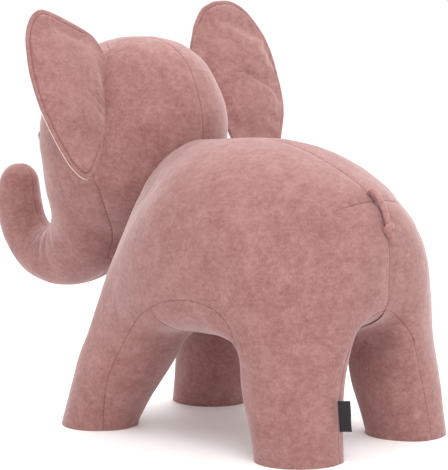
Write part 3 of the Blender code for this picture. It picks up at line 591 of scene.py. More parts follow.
def local_cut(bm, start, end, normal, reach=0.012):
    """Cut the faces near a short seam along the plane through it, and return its edges."""
    start, end, normal = Vector(start), Vector(end), Vector(normal).normalized()
    along = end - start
    side = along.cross(normal).normalized()

    def beside(p):
        t = (p - start).dot(along) / along.length_squared
        return -0.02 < t < 1.02 and (p - start - along * t).length < reach

    faces = [f for f in bm.faces if beside(f.calc_center_median())]
    geom = list({v for f in faces for v in f.verts}) + list({e for f in faces for e in f.edges})
    made = bmesh.ops.bisect_plane(bm, geom=geom + faces, plane_co=start, plane_no=side)
    return edges_in(made["geom_cut"])


def outside(outline):
    """Signed distance from a closed outline, more than 0 outside it."""
    a = np.array(outline, float)
    b = np.roll(a, -1, axis=0)

    def distance(p):
        ap, ab = p[:, None] - a[None], (b - a)[None]
        t = np.clip((ap * ab).sum(2) / (ab * ab).sum(2), 0, 1)
        d = np.linalg.norm(ap - ab * t[..., None], axis=2).min(1)
        x, y = p[:, :1], p[:, 1:]
        spans = (a[:, 1] > y) != (b[:, 1] > y)
        rise = np.where(b[:, 1] == a[:, 1], 1.0, b[:, 1] - a[:, 1])
        left = x < (b[:, 0] - a[:, 0]) * (y - a[:, 1]) / rise + a[:, 0]
        return np.where((spans & left).sum(1) % 2 == 1, -d, d)

    return distance


def rounded(points, steps=6):
    """A smooth line through the points."""
    pts = [Vector(p) for p in points]
    pts = [2 * pts[0] - pts[1], *pts, 2 * pts[-1] - pts[-2]]
    out = []
    for i in range(1, len(pts) - 2):
        a, b, c, d = pts[i - 1:i + 3]
        for k in range(steps):
            out.append(tuple(curve_point(a, b, c, d, k / steps)))
    return out + [tuple(pts[-2])]


def carve(bm, measure, region, snap=0.6 * MM):
    """Split faces along the line where measure is 0, so that a seam can run there."""
    verts = [v for v in bm.verts if region(v.co)]
    found = measure(np.array([v.co for v in verts]))
    value = {v: float(x) for v, x in zip(verts, found)}
    for v in verts:
        if 0 < abs(value[v]) < snap:
            shares = [(value[v] / (value[v] - value[w]), w.co) for w in
                      (e.other_vert(v) for e in v.link_edges) if value.get(w, 0) * value[v] < 0]
            if shares:
                share, to = min(shares, key=lambda c: c[0])
                v.co = v.co.lerp(to, share)
                value[v] = 0.0
    for e in {e for v in verts for e in v.link_edges}:
        a, b = e.verts
        if value.get(a, 0) * value.get(b, 0) < 0:
            made = bmesh.utils.edge_split(e, a, value[a] / (value[a] - value[b]))[1]
            value[made] = 0.0
    zero = {v for v, x in value.items() if x == 0}
    for f in {f for v in zero for f in v.link_faces}:
        ends = [v for v in f.verts if v in zero]
        if len(ends) == 2 and not bm.edges.get(ends):
            bmesh.utils.face_split(f, *ends)


# Where the panels meet, told in one view each: the flank from the side (y, z),
# the underside from below (x, y), the rump and the chest from behind (x, z).
FLANK = ((-0.0115, -0.02), (-0.0104, 0.004), (0.0035, 0.0566), (0.0205, 0.0989), (0.0460, 0.1420),
         (0.0736, 0.1701), (0.1145, 0.1930), (0.1500, 0.2055), (0.1812, 0.2100), (0.2118, 0.2085),
         (0.2370, 0.2010), (0.2520, 0.1860), (0.2570, 0.1680), (0.2540, 0.1400), (0.2490, 0.1150),
         (0.2490, 0.0850), (0.2590, 0.0450), (0.2719, 0.0040), (0.2780, -0.02))
UNDER_FRONT = ((0.0, 0.0825), (0.05, 0.0835), (0.09, 0.090), (0.125, 0.1080), (0.155, 0.1200),
               (0.18, 0.1170), (0.21, 0.1080))
UNDER_REAR = ((0.0, 0.2525), (0.05, 0.2520), (0.09, 0.249), (0.125, 0.2420), (0.155, 0.2340),
              (0.21, 0.2300))
RUMP_ARCH = ((0.0, 0.1925), (0.015, 0.1900), (0.032, 0.1820), (0.050, 0.1690), (0.062, 0.1565),
             (0.072, 0.1430), (0.081, 0.1220), (0.0875, 0.1000), (0.093, 0.0750), (0.0985, 0.0450),
             (0.1020, 0.0150), (0.1035, -0.0200))
CHEST_ARCH = ((0.0, 0.1760), (0.020, 0.1730), (0.040, 0.1630), (0.055, 0.1480), (0.066, 0.1300),
              (0.075, 0.1080), (0.083, 0.0800), (0.092, 0.0500), (0.100, 0.0200), (0.104, -0.0200))


def cut_panels(bm):
    """Give every face its panel, with smooth seam lines between them."""
    flank = outside(rounded(FLANK))
    arches = {}
    for name, line in (("rump", RUMP_ARCH), ("chest", CHEST_ARCH)):
        line = rounded(line)
        arches[name] = outside([(-x, z) for x, z in reversed(line[1:])] + line)
    front, rear = (np.array(rounded(line)).T for line in (UNDER_FRONT, UNDER_REAR))

    def behind(p):
        """More than 0 on the rear legs; the seam runs low across their fronts."""
        low = np.clip((np.abs(p[:, 0]) - 0.075) / 0.06, 0, 1)
        return p[:, 1] - np.interp(np.abs(p[:, 0]), *rear) - 1.3 * low * (p[:, 2] - 0.148)

    def on_flank(p):
        return abs(p.x) > 0.128 and p.z < 0.235 and -0.03 < p.y < 0.295

    def on_rump(p):
        return p.y > FEET_Y + 0.170 and abs(p.x) < 0.125 and p.z < 0.225

    def on_chest(p):
        return p.y < FEET_Y - 0.178 and abs(p.x) < 0.125 and p.z < 0.200

    def below(p):
        return p.z < 0.215 and 0.04 < p.y < 0.29

    carve(bm, lambda p: flank(p[:, 1:]), on_flank)
    carve(bm, lambda p: arches["rump"](p[:, ::2]), on_rump)
    carve(bm, lambda p: arches["chest"](p[:, ::2]), on_chest)
    carve(bm, lambda p: p[:, 1] - np.interp(np.abs(p[:, 0]), *front), below)
    carve(bm, behind, below)
    faces = list(bm.faces)
    mids = [f.calc_center_median() for f in faces]
    co = np.array(mids)
    beyond = {"flank": flank(co[:, 1:]), "rump": arches["rump"](co[:, ::2]),
              "chest": arches["chest"](co[:, ::2]), "rear": behind(co)}
    for n, (f, p) in enumerate(zip(faces, mids)):
        right = 0 if p.x > 0 else 1
        side = f.material_index == SIDE
        for zone, view in ((on_flank, "flank"), (on_rump, "rump"), (on_chest, "chest")):
            if zone(p):
                side = beyond[view][n] > 0
        if side:
            f.material_index = SIDE + right
        elif p.y < np.interp(abs(p.x), *front):
            f.material_index = FRONT_LEG + right
        elif beyond["rear"][n] > 0:
            f.material_index = REAR_LEG + right
        else:
            f.material_index = BELLY


def seam_edges(bm):
    return [e for e in bm.edges if len(e.link_faces) == 2
            and e.link_faces[0].material_index != e.link_faces[1].material_index]


def refine_near(bm, edges, reach, cuts):
    """Smaller faces beside the seams, so that their furrow is real."""
    mark = bm.edges.layers.int["seam_mark"]
    for e in edges:
        e[mark] = 1
    ring = {v for e in edges for v in e.verts}
    tree = tree_of([v.co for v in ring])
    near = [f for f in bm.faces
            if any(v in ring for v in f.verts) or tree.find(f.calc_center_median())[2] < reach]
    bmesh.ops.subdivide_edges(bm, edges=list({e for f in near for e in f.edges}), cuts=cuts,
                              use_grid_fill=True)
    bmesh.ops.triangulate(bm, faces=[f for f in bm.faces if len(f.verts) > 4])
    return [e for e in bm.edges if e[mark] == 1]


SEAM = (0.8 * MM, 1.0 * MM)      # depth and width of the furrow


def press_seams(bm, edges, depth, width, pillow, pillow_width, scale=None):
    """Draw the fabric in along the seams, and store how near each point is to one, as the weight of the painted
    shade in the furrow.
    """
    seam_shade_layer = bm.verts.layers.float["seam"]
    points = [v.co.copy() for v in {v for e in edges for v in e.verts}]
    points += [(e.verts[0].co + e.verts[1].co) / 2 for e in edges]
    tree = tree_of(points)
    bm.normal_update()
    moves = []
    for v in bm.verts:
        d = tree.find(v.co)[2]
        if d > pillow_width * 3:
            continue
        amount = depth * gauss(d / width) + pillow * gauss(d / pillow_width)
        if scale:
            amount *= scale(v.co)
        moves.append((v, v.normal * amount))
        v[seam_shade_layer] = max(v[seam_shade_layer], gauss(d / (width * 0.55)))
    for v, d in moves:
        v.co -= d
    for e in edges:
        e.smooth = False


def stir(bm, amount, size, seed, keep=None):
    """Slow uneven swell of hand-filled foam."""
    bm.normal_update()
    offset = Vector((seed, seed * 1.7, seed * 0.3))
    moves = []
    for v in bm.verts:
        d = noise.fractal(v.co / size + offset, 0.9, 2.0, 3) * amount
        if keep:
            d *= keep(v.co)
        moves.append((v, v.normal * d))
    for v, d in moves:
        v.co += d


def panel_object(name, bm, number, mat):
    part = bm.copy()
    bmesh.ops.delete(part, geom=[f for f in part.faces if f.material_index != number],
                     context="FACES")
    return add(name, mesh_from(name, part), mat)


def centre_of_foot(p):
    return Vector((math.copysign(TRACK / 2, p.x),
                   FEET_Y + math.copysign(WHEELBASE / 2, p.y - FEET_Y), p.z))


FLARE, FLARE_TOP = 1.1 * MM, 0.035       # the cover stands out over the sole, below this level
HEM = ((1.3 * MM, -0.25 * MM), (1.5 * MM, -0.15 * MM), (0.9 * MM, 0.2 * MM))   # down, inward


def foot_skirts(bm):
    """The cover's hem comes down round each foot, just over the sole."""
    rim = [e for e in bm.edges if e.is_boundary and max(v.co.z for v in e.verts) < 0.01]
    for v in bm.verts:
        if v.co.z < FLARE_TOP:
            outward = (v.co - centre_of_foot(v.co)).normalized()
            v.co += outward * FLARE * (1 - v.co.z / FLARE_TOP)
    for drop, draw in HEM:
        made = lengthen(bm, rim)
        for v in verts_in(made):
            inward = (centre_of_foot(v.co) - v.co).normalized()
            v.co += inward * draw
            v.co.z -= drop
        rim = [e for e in edges_in(made) if e.is_boundary and all(v.is_boundary for v in e.verts)
               and abs(e.verts[0].co.z - e.verts[1].co.z) < 0.6 * MM]
    bmesh.ops.recalc_face_normals(bm, faces=bm.faces)


DART_ROOT = (0.0, 0.3510, 0.3410)
DART_END = (0.067, 0.3400, 0.3310)
SLIT = (FEET_Y + 0.156, FEET_Y + 0.237)         # y where the placket starts and stops
SLIT_HALF = 7.0 * MM
SLIT_TOP = 0.215                                # above this level the back is left alone
LIP = ((0.8 * MM, -0.5 * MM), (1.6 * MM, 0.5 * MM), (2.5 * MM, 2.0 * MM))     # inward, aside


def in_slit(p):
    return abs(p.x) < 0.0015 and SLIT[0] < p.y < SLIT[1] and p.z < 0.21


def open_placket(bm, edges):
    """Part the seam under the rump over the zip, with turned-in lips."""
    cut_edges = [e for e in edges if all(in_slit(v.co) for v in e.verts)]
    bmesh.ops.split_edges(bm, edges=cut_edges)
    bm.normal_update()

    def part(y):
        t = (y - SLIT[0]) / (SLIT[1] - SLIT[0])
        return math.sin(math.pi * min(max(t, 0.0), 1.0)) ** 0.6 if 0 < t < 1 else 0.0

    moves = []
    for v in bm.verts:
        if abs(v.co.x) > 0.03 or v.co.z > SLIT_TOP or not SLIT[0] < v.co.y < SLIT[1]:
            continue
        side = sum(f.calc_center_median().x for f in v.link_faces)
        away = Vector((math.copysign(1.0, side), 0, 0))
        away = (away - v.normal * away.dot(v.normal)).normalized()
        d = abs(v.co.x)
        near = max(0.0, 1 - d / 0.022) ** 1.6
        lift = gauss((d - 0.5 * MM) / (3.2 * MM)) * 1.3 * MM
        moves.append((v, (away * SLIT_HALF * near + v.normal * lift) * part(v.co.y)))
    for v, d in moves:
        v.co += d
    rim = [e for e in bm.edges if e.is_boundary and all(
        SLIT[0] - 0.002 < v.co.y < SLIT[1] + 0.002 and abs(v.co.x) < 0.012 and 0.1 < v.co.z < SLIT_TOP
        for v in e.verts)]
    for inward, roll in LIP:
        normals = {v: v.normal.copy() for e in rim for v in e.verts}
        made = lengthen(bm, rim)
        news = verts_in(made)
        for v in news:
            source = min((e.other_vert(v) for e in v.link_edges), key=lambda o: (o.co - v.co).length)
            n = normals.get(source, Vector((0, 0.4, -0.9)))
            side = math.copysign(1.0, sum(f.calc_center_median().x for f in source.link_faces))
            v.co += Vector((side * roll, 0, 0)) - n * inward
        rim = [e for e in edges_in(made) if len(e.link_faces) == 1 and all(v in news for v in e.verts)]


NECK_REACH = 0.035


def meet_head(bm, head):
    """Draw the neck edge of the body just inside the head."""
    ring = [v for v in bm.verts if v.is_boundary and v.co.z > 0.2]
    tree = tree_of([v.co for v in ring])
    pulls = []
    for v in ring:
        hit, normal, _, _ = head.find_nearest(v.co)
        pulls.append(hit - normal * 1.6 * MM - v.co)
    for v in bm.verts:
        if v.co.z < 0.2 or v.co.y > 0.12:
            continue
        close = tree.find_n(v.co, 4)
        d = close[0][2]
        if d < NECK_REACH:
            weights = [1 / (c[2] + 0.001) for c in close]
            pull = sum((pulls[c[1]] * w for c, w in zip(close, weights)), Vector()) / sum(weights)
            v.co += pull * (1 - d / NECK_REACH) ** 2


def make_body(head):
    bm = smooth_form(body_cage(), LEVELS)
    meet_head(bm, head)
    stir(bm, 1.1 * MM, 0.075, 3.1, lambda p: smoothstep(p.z, 0.01, 0.08))
    cut_panels(bm)
    foot_skirts(bm)
    darts = []
    for s in (1, -1):
        darts += local_cut(bm, DART_ROOT, (s * DART_END[0], *DART_END[1:]), (0.15 * s, 0.75, 0.63))
    seams = seam_edges(bm)
    refine_near(bm, seams + darts, 4.5 * MM, CUTS)
    seams = seam_edges(bm)
    plackets = [e for e in seams if all(in_slit(v.co) for v in e.verts)]
    sewn = [e for e in seams if e not in set(plackets)]
    press_seams(bm, sewn, *SEAM, 0.9 * MM, 9 * MM)
    mark = bm.edges.layers.int["seam_mark"]
    root = Vector(DART_ROOT)
    dart_edges = [e for e in bm.edges if e[mark] and e not in set(seams)
                  and (e.verts[0].co - root).length < 0.09 and abs(e.verts[0].co.x) > 0.0008]
    press_seams(bm, dart_edges, *SEAM, 1.4 * MM, 9 * MM,
                lambda p: 1 - smoothstep(abs(p.x), 0.045, 0.069))
    open_placket(bm, seams)
    pieces = [panel_object("cover_" + name, bm, n, SUEDE) for n, name in enumerate(PANELS)]
    bm.free()
    for piece, name in zip(pieces, PANELS):
        finish_piece(piece, "base", "suede", name)
    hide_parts(*[n for n in nodes if n.startswith(("torso_foam", "haunch_foam",
                                                               "leg_foam"))])


def finish_piece(obj, body, slot, *replaced):
    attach(obj, body)
    if replaced:
        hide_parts(*replaced)
    return obj


# ------------------------------------------------------- head and trunk --
# From the crown down the face and along the trunk to its tip: y, z, half
# width, half depth, and how far the section leans in degrees.
HEAD = (
    (-0.204, 0.5575, 0.0, 0.0, 3), (-0.206, 0.5545, 0.030, 0.030, 4),
    (-0.208, 0.545, 0.060, 0.060, 5), (-0.212, 0.525, 0.091, 0.091, 6),
    (-0.217, 0.497, 0.115, 0.115, 8), (-0.223, 0.462, 0.132, 0.132, 9),
    (-0.230, 0.424, 0.1385, 0.1385, 11), (-0.240, 0.385, 0.137, 0.137, 15),
    (-0.255, 0.348, 0.126, 0.124, 22), (-0.290, 0.313, 0.106, 0.090, 34),
    (-0.309, 0.278, 0.084, 0.076, 45), (-0.334, 0.248, 0.066, 0.063, 58),
    (-0.367, 0.227, 0.053, 0.053, 72), (-0.404, 0.219, 0.045, 0.045, 88),
    (-0.438, 0.226, 0.0405, 0.0405, 108), (-0.464, 0.248, 0.0375, 0.0375, 130),
    (-0.479, 0.279, 0.0360, 0.0360, 152), (-0.484, 0.309, 0.0345, 0.0345, 170),
    (-0.482, 0.333, 0.0300, 0.0300, 180), (-0.480, 0.348, 0.0210, 0.0210, 184),
    (-0.4785, 0.3550, 0.0105, 0.0105, 186), (-0.4780, 0.3568, 0.0, 0.0, 187),
)
# The nape panels seen from the side (y, z): over the crown in front, down
# through the ears and in under the throat.
NAPE_EDGE = ((-0.135, 0.575), (-0.118, 0.556), (-0.092, 0.545), (-0.069, 0.531), (-0.054, 0.485),
             (-0.048, 0.435), (-0.054, 0.390), (-0.060, 0.356), (-0.0585, 0.335), (-0.064, 0.311),
             (-0.078, 0.288), (-0.087, 0.276), (-0.105, 0.255), (-0.125, 0.228))
SECTORS = 160
STEPS = 8   # rings between the rows of HEAD
FACE, NAPE = 0, 2
# Creases where the trunk turns up: level, half width in levels, depth
CROOK = ((11.15, 0.10, 1.6), (11.55, 0.09, 1.2), (11.95, 0.12, 2.1), (12.40, 0.09, 1.3),
         (12.80, 0.12, 1.7), (13.35, 0.10, 1.0))


def spline_through(rows, steps):
    """Natural cubic spline through the rows, one row per level."""
    rows = np.array(rows, float)
    n = len(rows)
    a = np.eye(n) * 4
    rhs = np.zeros_like(rows)
    for i in range(1, n - 1):
        a[i, i - 1] = a[i, i + 1] = 1
        rhs[i] = 6 * (rows[i - 1] - 2 * rows[i] + rows[i + 1])
    bend = np.linalg.solve(a, rhs)
    levels = np.linspace(0, n - 1, (n - 1) * steps + 1)
    i = np.minimum(levels.astype(int), n - 2)
    t = (levels - i)[:, None]
    low, high = rows[i], rows[i + 1]
    out = (low * (1 - t) + high * t
           + ((1 - t) ** 3 - (1 - t)) * bend[i] / 6 + (t ** 3 - t) * bend[i + 1] / 6)
    return levels, out


def head_form():
    levels, rows = spline_through(HEAD, STEPS)
    bm = seam_ready(bmesh.new())
    level_of = bm.verts.layers.float.new("level")
    angle_of = bm.verts.layers.float.new("angle")
    rings = []
    for level, (y, z, wide, deep, tilt) in zip(levels, rows):
        t = math.radians(tilt)
        front = Vector((0, -math.cos(t), math.sin(t)))
        count = 1 if level in (levels[0], levels[-1]) else SECTORS
        ring = []
        for n in range(count):
            a = 2 * math.pi * n / SECTORS
            v = bm.verts.new(Vector((wide * math.sin(a), y + FEET_Y, z)) + front * (deep * math.cos(a)))
            v[level_of], v[angle_of] = level, a if a <= math.pi else a - 2 * math.pi
            ring.append(v)
        rings.append(ring)
    for n, f in enumerate(join_rings(bm, rings)):
        f.material_index = 0 if n % SECTORS < SECTORS // 2 else 1
    bmesh.ops.recalc_face_normals(bm, faces=bm.faces)
    return bm


def crease_trunk(bm):
    """Folds that fan out from the inside of the trunk's bend."""
    level_of, angle_of = bm.verts.layers.float["level"], bm.verts.layers.float["angle"]
    bm.normal_update()
    moves = []
    for v in bm.verts:
        level, angle = v[level_of], v[angle_of]
        if not 10.4 < level < 14.2:
            continue
        inner = max(0.0, math.cos(angle * 0.62)) ** 1.5
        d = 0.0
        for n, (at, half, depth) in enumerate(CROOK):
            wander = 0.16 * math.sin(angle * 1.7 + n * 2.1)
            x = (level - at - wander) / half
            d += depth * (gauss(x) - 0.55 * gauss((abs(x) - 1.9) / 0.9))
        moves.append((v, v.normal * d * inner * MM))
    for v, d in moves:
        v.co -= d


def make_head():
    """Builds the head; returns its surface for the body to meet."""
    bm = head_form()
    clean = BVHTree.FromBMesh(bm)
    crease_trunk(bm)
    stir(bm, 1.0 * MM, 0.06, 8.3)
    neck = Vector((0, NECK_C[0] + FEET_Y, NECK_C[1]))
    out = Vector((0, *NECK_N)).normalized()
    hidden = [f for f in bm.faces if (f.calc_center_median() - neck).dot(out) < -0.014]
    bmesh.ops.delete(bm, geom=hidden, context="FACES")
    nape = outside([(0.2, 0.7), (-0.14, 0.7)] + rounded(NAPE_EDGE) + [(-0.14, 0.1), (0.2, 0.1)])
    carve(bm, lambda p: nape(p[:, 1:]), lambda p: p.y > -0.19)
    faces = list(bm.faces)
    for f, d in zip(faces, nape(np.array([f.calc_center_median() for f in faces])[:, 1:])):
        f.material_index += NAPE if d < 0 else FACE
    seams = seam_edges(bm)
    refine_near(bm, seams, 4.0 * MM, CUTS)
    seams = seam_edges(bm)
    press_seams(bm, seams, *SEAM, 0.7 * MM, 8 * MM)
    for side in ("left", "right"):
        eye = sum((Vector(p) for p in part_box("eye_" + side)), Vector()) / 2
        for v in bm.verts:
            d = (v.co - eye).length
            if d < 0.04:
                v.co -= v.normal * 1.4 * MM * gauss(d / 0.013)
    names = ("face_panel_left", "face_panel_right", "nape_panel_left", "nape_panel_right")
    for n, name in enumerate(names):
        piece = panel_object("cover_" + name, bm, n, SUEDE)
        finish_piece(piece, "base", "suede", name)
        if n == 0:
            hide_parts("head_fill", "trunk_fill")
    bm.free()
    return clean


# ------------------------------------------------------------------ ears --
# Outline of each ear from behind, in metres: out from its fold line, and up.
EAR_OUTLINE = {
    "left": (
        (-0.007, 0.057), (0.007, 0.072), (0.023, 0.0815), (0.045, 0.085), (0.067, 0.0865),
        (0.092, 0.0875), (0.114, 0.0865), (0.129, 0.080), (0.1435, 0.062), (0.152, 0.033),
        (0.150, 0.002), (0.144, -0.028), (0.127, -0.0685), (0.104, -0.1026), (0.085, -0.125),
        (0.0665, -0.142), (0.0415, -0.151), (0.0245, -0.139), (0.0125, -0.113), (0.0046, -0.0857),
        (-0.001, -0.060), (-0.003, -0.040), (-0.005, -0.018), (-0.005, 0.004), (-0.006, 0.024),
        (-0.010, 0.043)),
    "right": (
        (-0.007, 0.055), (0.006, 0.069), (0.0202, 0.0806), (0.0343, 0.0925), (0.0635, 0.1068),
        (0.084, 0.1085), (0.1024, 0.1065), (0.1306, 0.0949), (0.1501, 0.0703), (0.1588, 0.0317),
        (0.1575, 0.006), (0.1517, -0.0180), (0.1347, -0.0619), (0.1185, -0.0899), (0.0988, -0.110),
        (0.0725, -0.1316), (0.047, -0.1440), (0.015, -0.142), (-0.009, -0.122), (-0.015, -0.094),
        (-0.012, -0.066), (-0.007, -0.042), (-0.005, -0.018), (-0.005, 0.004), (-0.006, 0.024),
        (-0.010, 0.043)),
}
EAR_MID = Vector((0.074, -0.012))
FLANGE = 8 * MM          # flat rim outside the topstitching
FLANGE_HALF = 1.2 * MM
RIM_STEPS = (0, 0.9, 2.4, 4.4, 6.4, 8.0, 9.6, 12.0)      # mm in from the edge
EAR_AROUND = 144
PUFF = {"back": 15 * MM, "front": 8 * MM}
EAR_OUT = (0.940, -0.043, 0.336)
EAR_IN = 13              # rings from the rim to the middle
EAR_FRAMES = 26
EAR_PRESSURE = 5.0
EAR_SLACK = {"left": 0.035, "right": 0.062}
EAR_LIP = {"left": 1.1, "right": 0.3}     # how far the cream shows past the suede, in mm


def ear_place(side):
    joint = joints["ear_%s_fold" % side]
    s = 1 if side == "left" else -1
    up = Vector(joint["axis"]).normalized() * s
    out = Vector((s * EAR_OUT[0], EAR_OUT[1], EAR_OUT[2])).normalized()
    rot = frame_of(out * s, up).to_4x4()
    return Matrix.Translation(Vector(joint["pos_m"])) @ rot, s


def closed_curve(points, count):
    """Evenly spaced points on a smooth closed curve through the given ones."""
    pts = [Vector(p) for p in points]
    n = len(pts)
    dense = []
    for i in range(n):
        a, b, c, d = (pts[(i + k) % n] for k in (-1, 0, 1, 2))
        for k in range(12):
            dense.append(curve_point(a, b, c, d, k / 12))
    lengths = [0.0]
    for i in range(len(dense)):
        lengths.append(lengths[-1] + (dense[(i + 1) % len(dense)] - dense[i]).length)
    out = []
    i = 0
    for k in range(count):
        want = lengths[-1] * k / count
        while lengths[i + 1] < want:
            i += 1
        t = (want - lengths[i]) / (lengths[i + 1] - lengths[i])
        out.append(dense[i].lerp(dense[(i + 1) % len(dense)], t))
    return out


def ear_pouch(side, s):
    """Both sheets of an ear, joined at the rim, flat, with rings inward."""
    outline = closed_curve(EAR_OUTLINE[side], EAR_AROUND)
    n = len(outline)
    inward = []
    for i in range(n):
        t = (outline[(i + 1) % n] - outline[i - 1]).normalized()
        inward.append(Vector((-t.y, t.x)))
    if (outline[0] + inward[0] * 0.01 - EAR_MID).length > (outline[0] - EAR_MID).length:
        inward = [-v for v in inward]
    # The flat rim narrows to nothing where the ear is sewn to the head.
    rims = [0.3 + 0.7 * smoothstep(p.x - 0.25 * min(p.y, 0), 0.012, 0.050) for p in outline]
    rings = [[p + v * (d * MM * w) for p, v, w in zip(outline, inward, rims)] for d in RIM_STEPS]
    inner = rings[-1]
    shares = [1 - k / EAR_IN for k in range(1, EAR_IN)]
    rings += [[EAR_MID + (p - EAR_MID) * k for p in inner] for k in shares]
    bm = bmesh.new()
    depth_of = bm.verts.layers.float.new("depth")
    seam = bm.verts.layers.float.new("seam")
    grids = {}
    for sheet, way in (("back", 1), ("front", -1)):
        rows = []
        for r, ring in enumerate(rings):
            if r == 0 and sheet == "front":
                rows.append(grids["back"][0])
                continue
            d = RIM_STEPS[r] * MM if r < len(RIM_STEPS) else 0.02
            y = way * (FLANGE_HALF * min(1.0, 0.8 * r)
                       + (0 if d <= FLANGE else 3 * MM * min(1, (r - 5) / 6)))
            row = []
            for p in ring:
                v = bm.verts.new((s * p.x, y, p.y))
                v[depth_of] = d
                v[seam] = gauss((d - FLANGE) / MM)   # painted shade along the topstitching furrow
                row.append(v)
            rows.append(row)
        mid = bm.verts.new((s * EAR_MID.x, way * (FLANGE_HALF + 3 * MM), EAR_MID.y))
        mid[depth_of] = 0.02
        grids[sheet] = rows
        for f in join_rings(bm, rows + [[mid]]):
            f.material_index = 0 if way > 0 else 1
    bmesh.ops.recalc_face_normals(bm, faces=bm.faces)
    return bm


def inflate(obj, pinned, pressure, slack, frames):
    """Cloth under pressure, pinned where it is sewn; returns where its points end up."""
    obj.vertex_groups.new(name="pin").add(pinned, 1.0, "REPLACE")
    mod = obj.modifiers.new("cloth", "CLOTH")
    cloth = mod.settings
    cloth.quality = 7
    cloth.mass = 0.12
    cloth.tension_stiffness = cloth.compression_stiffness = 22
    cloth.shear_stiffness = 9
    cloth.bending_stiffness = 0.12
    cloth.tension_damping = cloth.compression_damping = 12
    cloth.air_damping = 3
    cloth.use_pressure = True
    cloth.uniform_pressure_force = pressure
    cloth.use_pressure_volume = False
    cloth.shrink_min = -slack
    cloth.vertex_group_mass = "pin"
    cloth.effector_weights.gravity = 0
    mod.collision_settings.use_collision = False
    mod.point_cache.frame_start, mod.point_cache.frame_end = 1, frames
    for f in range(1, frames + 1):
        scene.frame_set(f)
    mesh = evaluated(obj)
    co = np.zeros(len(mesh.vertices) * 3, np.float32)
    mesh.vertices.foreach_get("co", co)
    obj.modifiers.remove(mod)
    bpy.data.meshes.remove(mesh)
    scene.frame_set(1)
    return co.reshape(-1, 3)


def soft_cap(y, limit):
    return limit * math.tanh(y / limit)


def make_ear(side):
    place, s = ear_place(side)
    bm = ear_pouch(side, s)
    depth_of = bm.verts.layers.float["depth"]
    bm.verts.index_update()
    pins = [v.index for v in bm.verts if v[depth_of] <= FLANGE + 0.1 * MM]
    blank = add("ear_blank", mesh_from("ear_blank", bm.copy()), smooth=False)
    co = inflate(blank, pins, EAR_PRESSURE, EAR_SLACK[side], EAR_FRAMES)
    bpy.data.objects.remove(blank)
    bm.verts.ensure_lookup_table()
    for v, p in zip(bm.verts, co):
        v.co = Vector([float(c) for c in p])
    for v in bm.verts:
        back = v.link_faces[0].material_index == 0
        if v[depth_of] > FLANGE + 0.1 * MM:
            way = 1 if back else -1
            v.co.y = way * soft_cap(max(v.co.y * way, 1.5 * MM), PUFF["back" if back else "front"])
        elif abs(v[depth_of] - FLANGE) < 0.1 * MM:
            v.co.y *= 0.15                       # drawn in by the topstitching
    pieces = {}
    for n, (sheet, mat) in enumerate((("back", SUEDE), ("front", CREAM))):
        half = bm.copy()
        bmesh.ops.delete(half, geom=[f for f in half.faces if f.material_index != n],
                         context="FACES")
        lip = [e for e in half.edges if e.is_boundary]
        if sheet == "front":                     # the front is cut a little larger
            made = bmesh.ops.extrude_edge_only(half, edges=lip)["geom"]
            for v in verts_in(made):
                p = Vector((s * v.co.x, v.co.z))
                shown = smoothstep(p.x, 0.026, 0.05) * (1 - 0.7 * smoothstep(p.y, -0.02, 0.05))
                out = (p - EAR_MID).normalized() * (0.1 + EAR_LIP[side] * shown) * MM
                v.co += Vector((s * out.x, -0.4 * MM, out.y))
        obj = add("ear_%s_%s_cover" % (sheet, side), mesh_from(side + sheet, half), mat)
        obj.data.transform(place)
        mod = obj.modifiers.new("round", "SUBSURF")
        mod.levels = mod.render_levels = 1
        pieces[sheet] = applied(obj)
    bm.free()
    body = "ear_" + side
    root = place.translation
    out = place.to_3x3() @ Vector((s, 0, 0))
    for sheet, obj in pieces.items():
        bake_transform(obj, "base", body, root - out * 0.004, root + out * 0.016)
    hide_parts("ear_back_" + side, "ear_pad_" + side)
    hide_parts("ear_front_" + side)


# ------------------------------------------------------------------ eyes --
EYE_SINK = 2.3 * MM
BUTTON_SIDES = 48
BUTTON = (               # radius and height, in mm, from the top of the dome down
    (0, 4.7), (2.2, 4.62), (4.2, 4.2), (6.0, 3.4), (7.2, 2.4), (7.9, 1.3), (8.0, 0.6), (7.7, 0.1),
    (6.6, -0.1), (0, -0.2))


def make_eye(side):
    co = np.array([v.co for v in nodes["eye_" + side].data.vertices])
    centre = Vector(co.mean(0))
    head_mid = Vector((0, -0.232 + FEET_Y, centre.z + 0.004))
    # The shank runs along the piece's longest direction, away from the head.
    axis = Vector(np.linalg.svd(co - co.mean(0))[2][0])
    if axis.dot(centre - head_mid) < 0:
        axis = -axis
    top = max(((Vector(p) - centre).dot(axis) for p in co))
    bm = bmesh.new()
    rings = []
    for r, z in BUTTON:
        turns = [2 * math.pi * n / BUTTON_SIDES for n in range(BUTTON_SIDES if r else 1)]
        rings.append([bm.verts.new(Vector((r * math.cos(a), r * math.sin(a), z)) * MM)
                      for a in turns])
    join_rings(bm, rings)
    bmesh.ops.recalc_face_normals(bm, faces=bm.faces)
    eye = add("eye_button_" + side, mesh_from("eye", bm), STAYING["eye"])
    rot = frame_of((0, 0, 1), axis).to_4x4()
    seat = centre + axis * (top - BUTTON[0][1] * MM - EYE_SINK)
    eye.data.transform(Matrix.Translation(seat) @ rot)
    finish_piece(eye, "base", "eye", "eye_" + side)


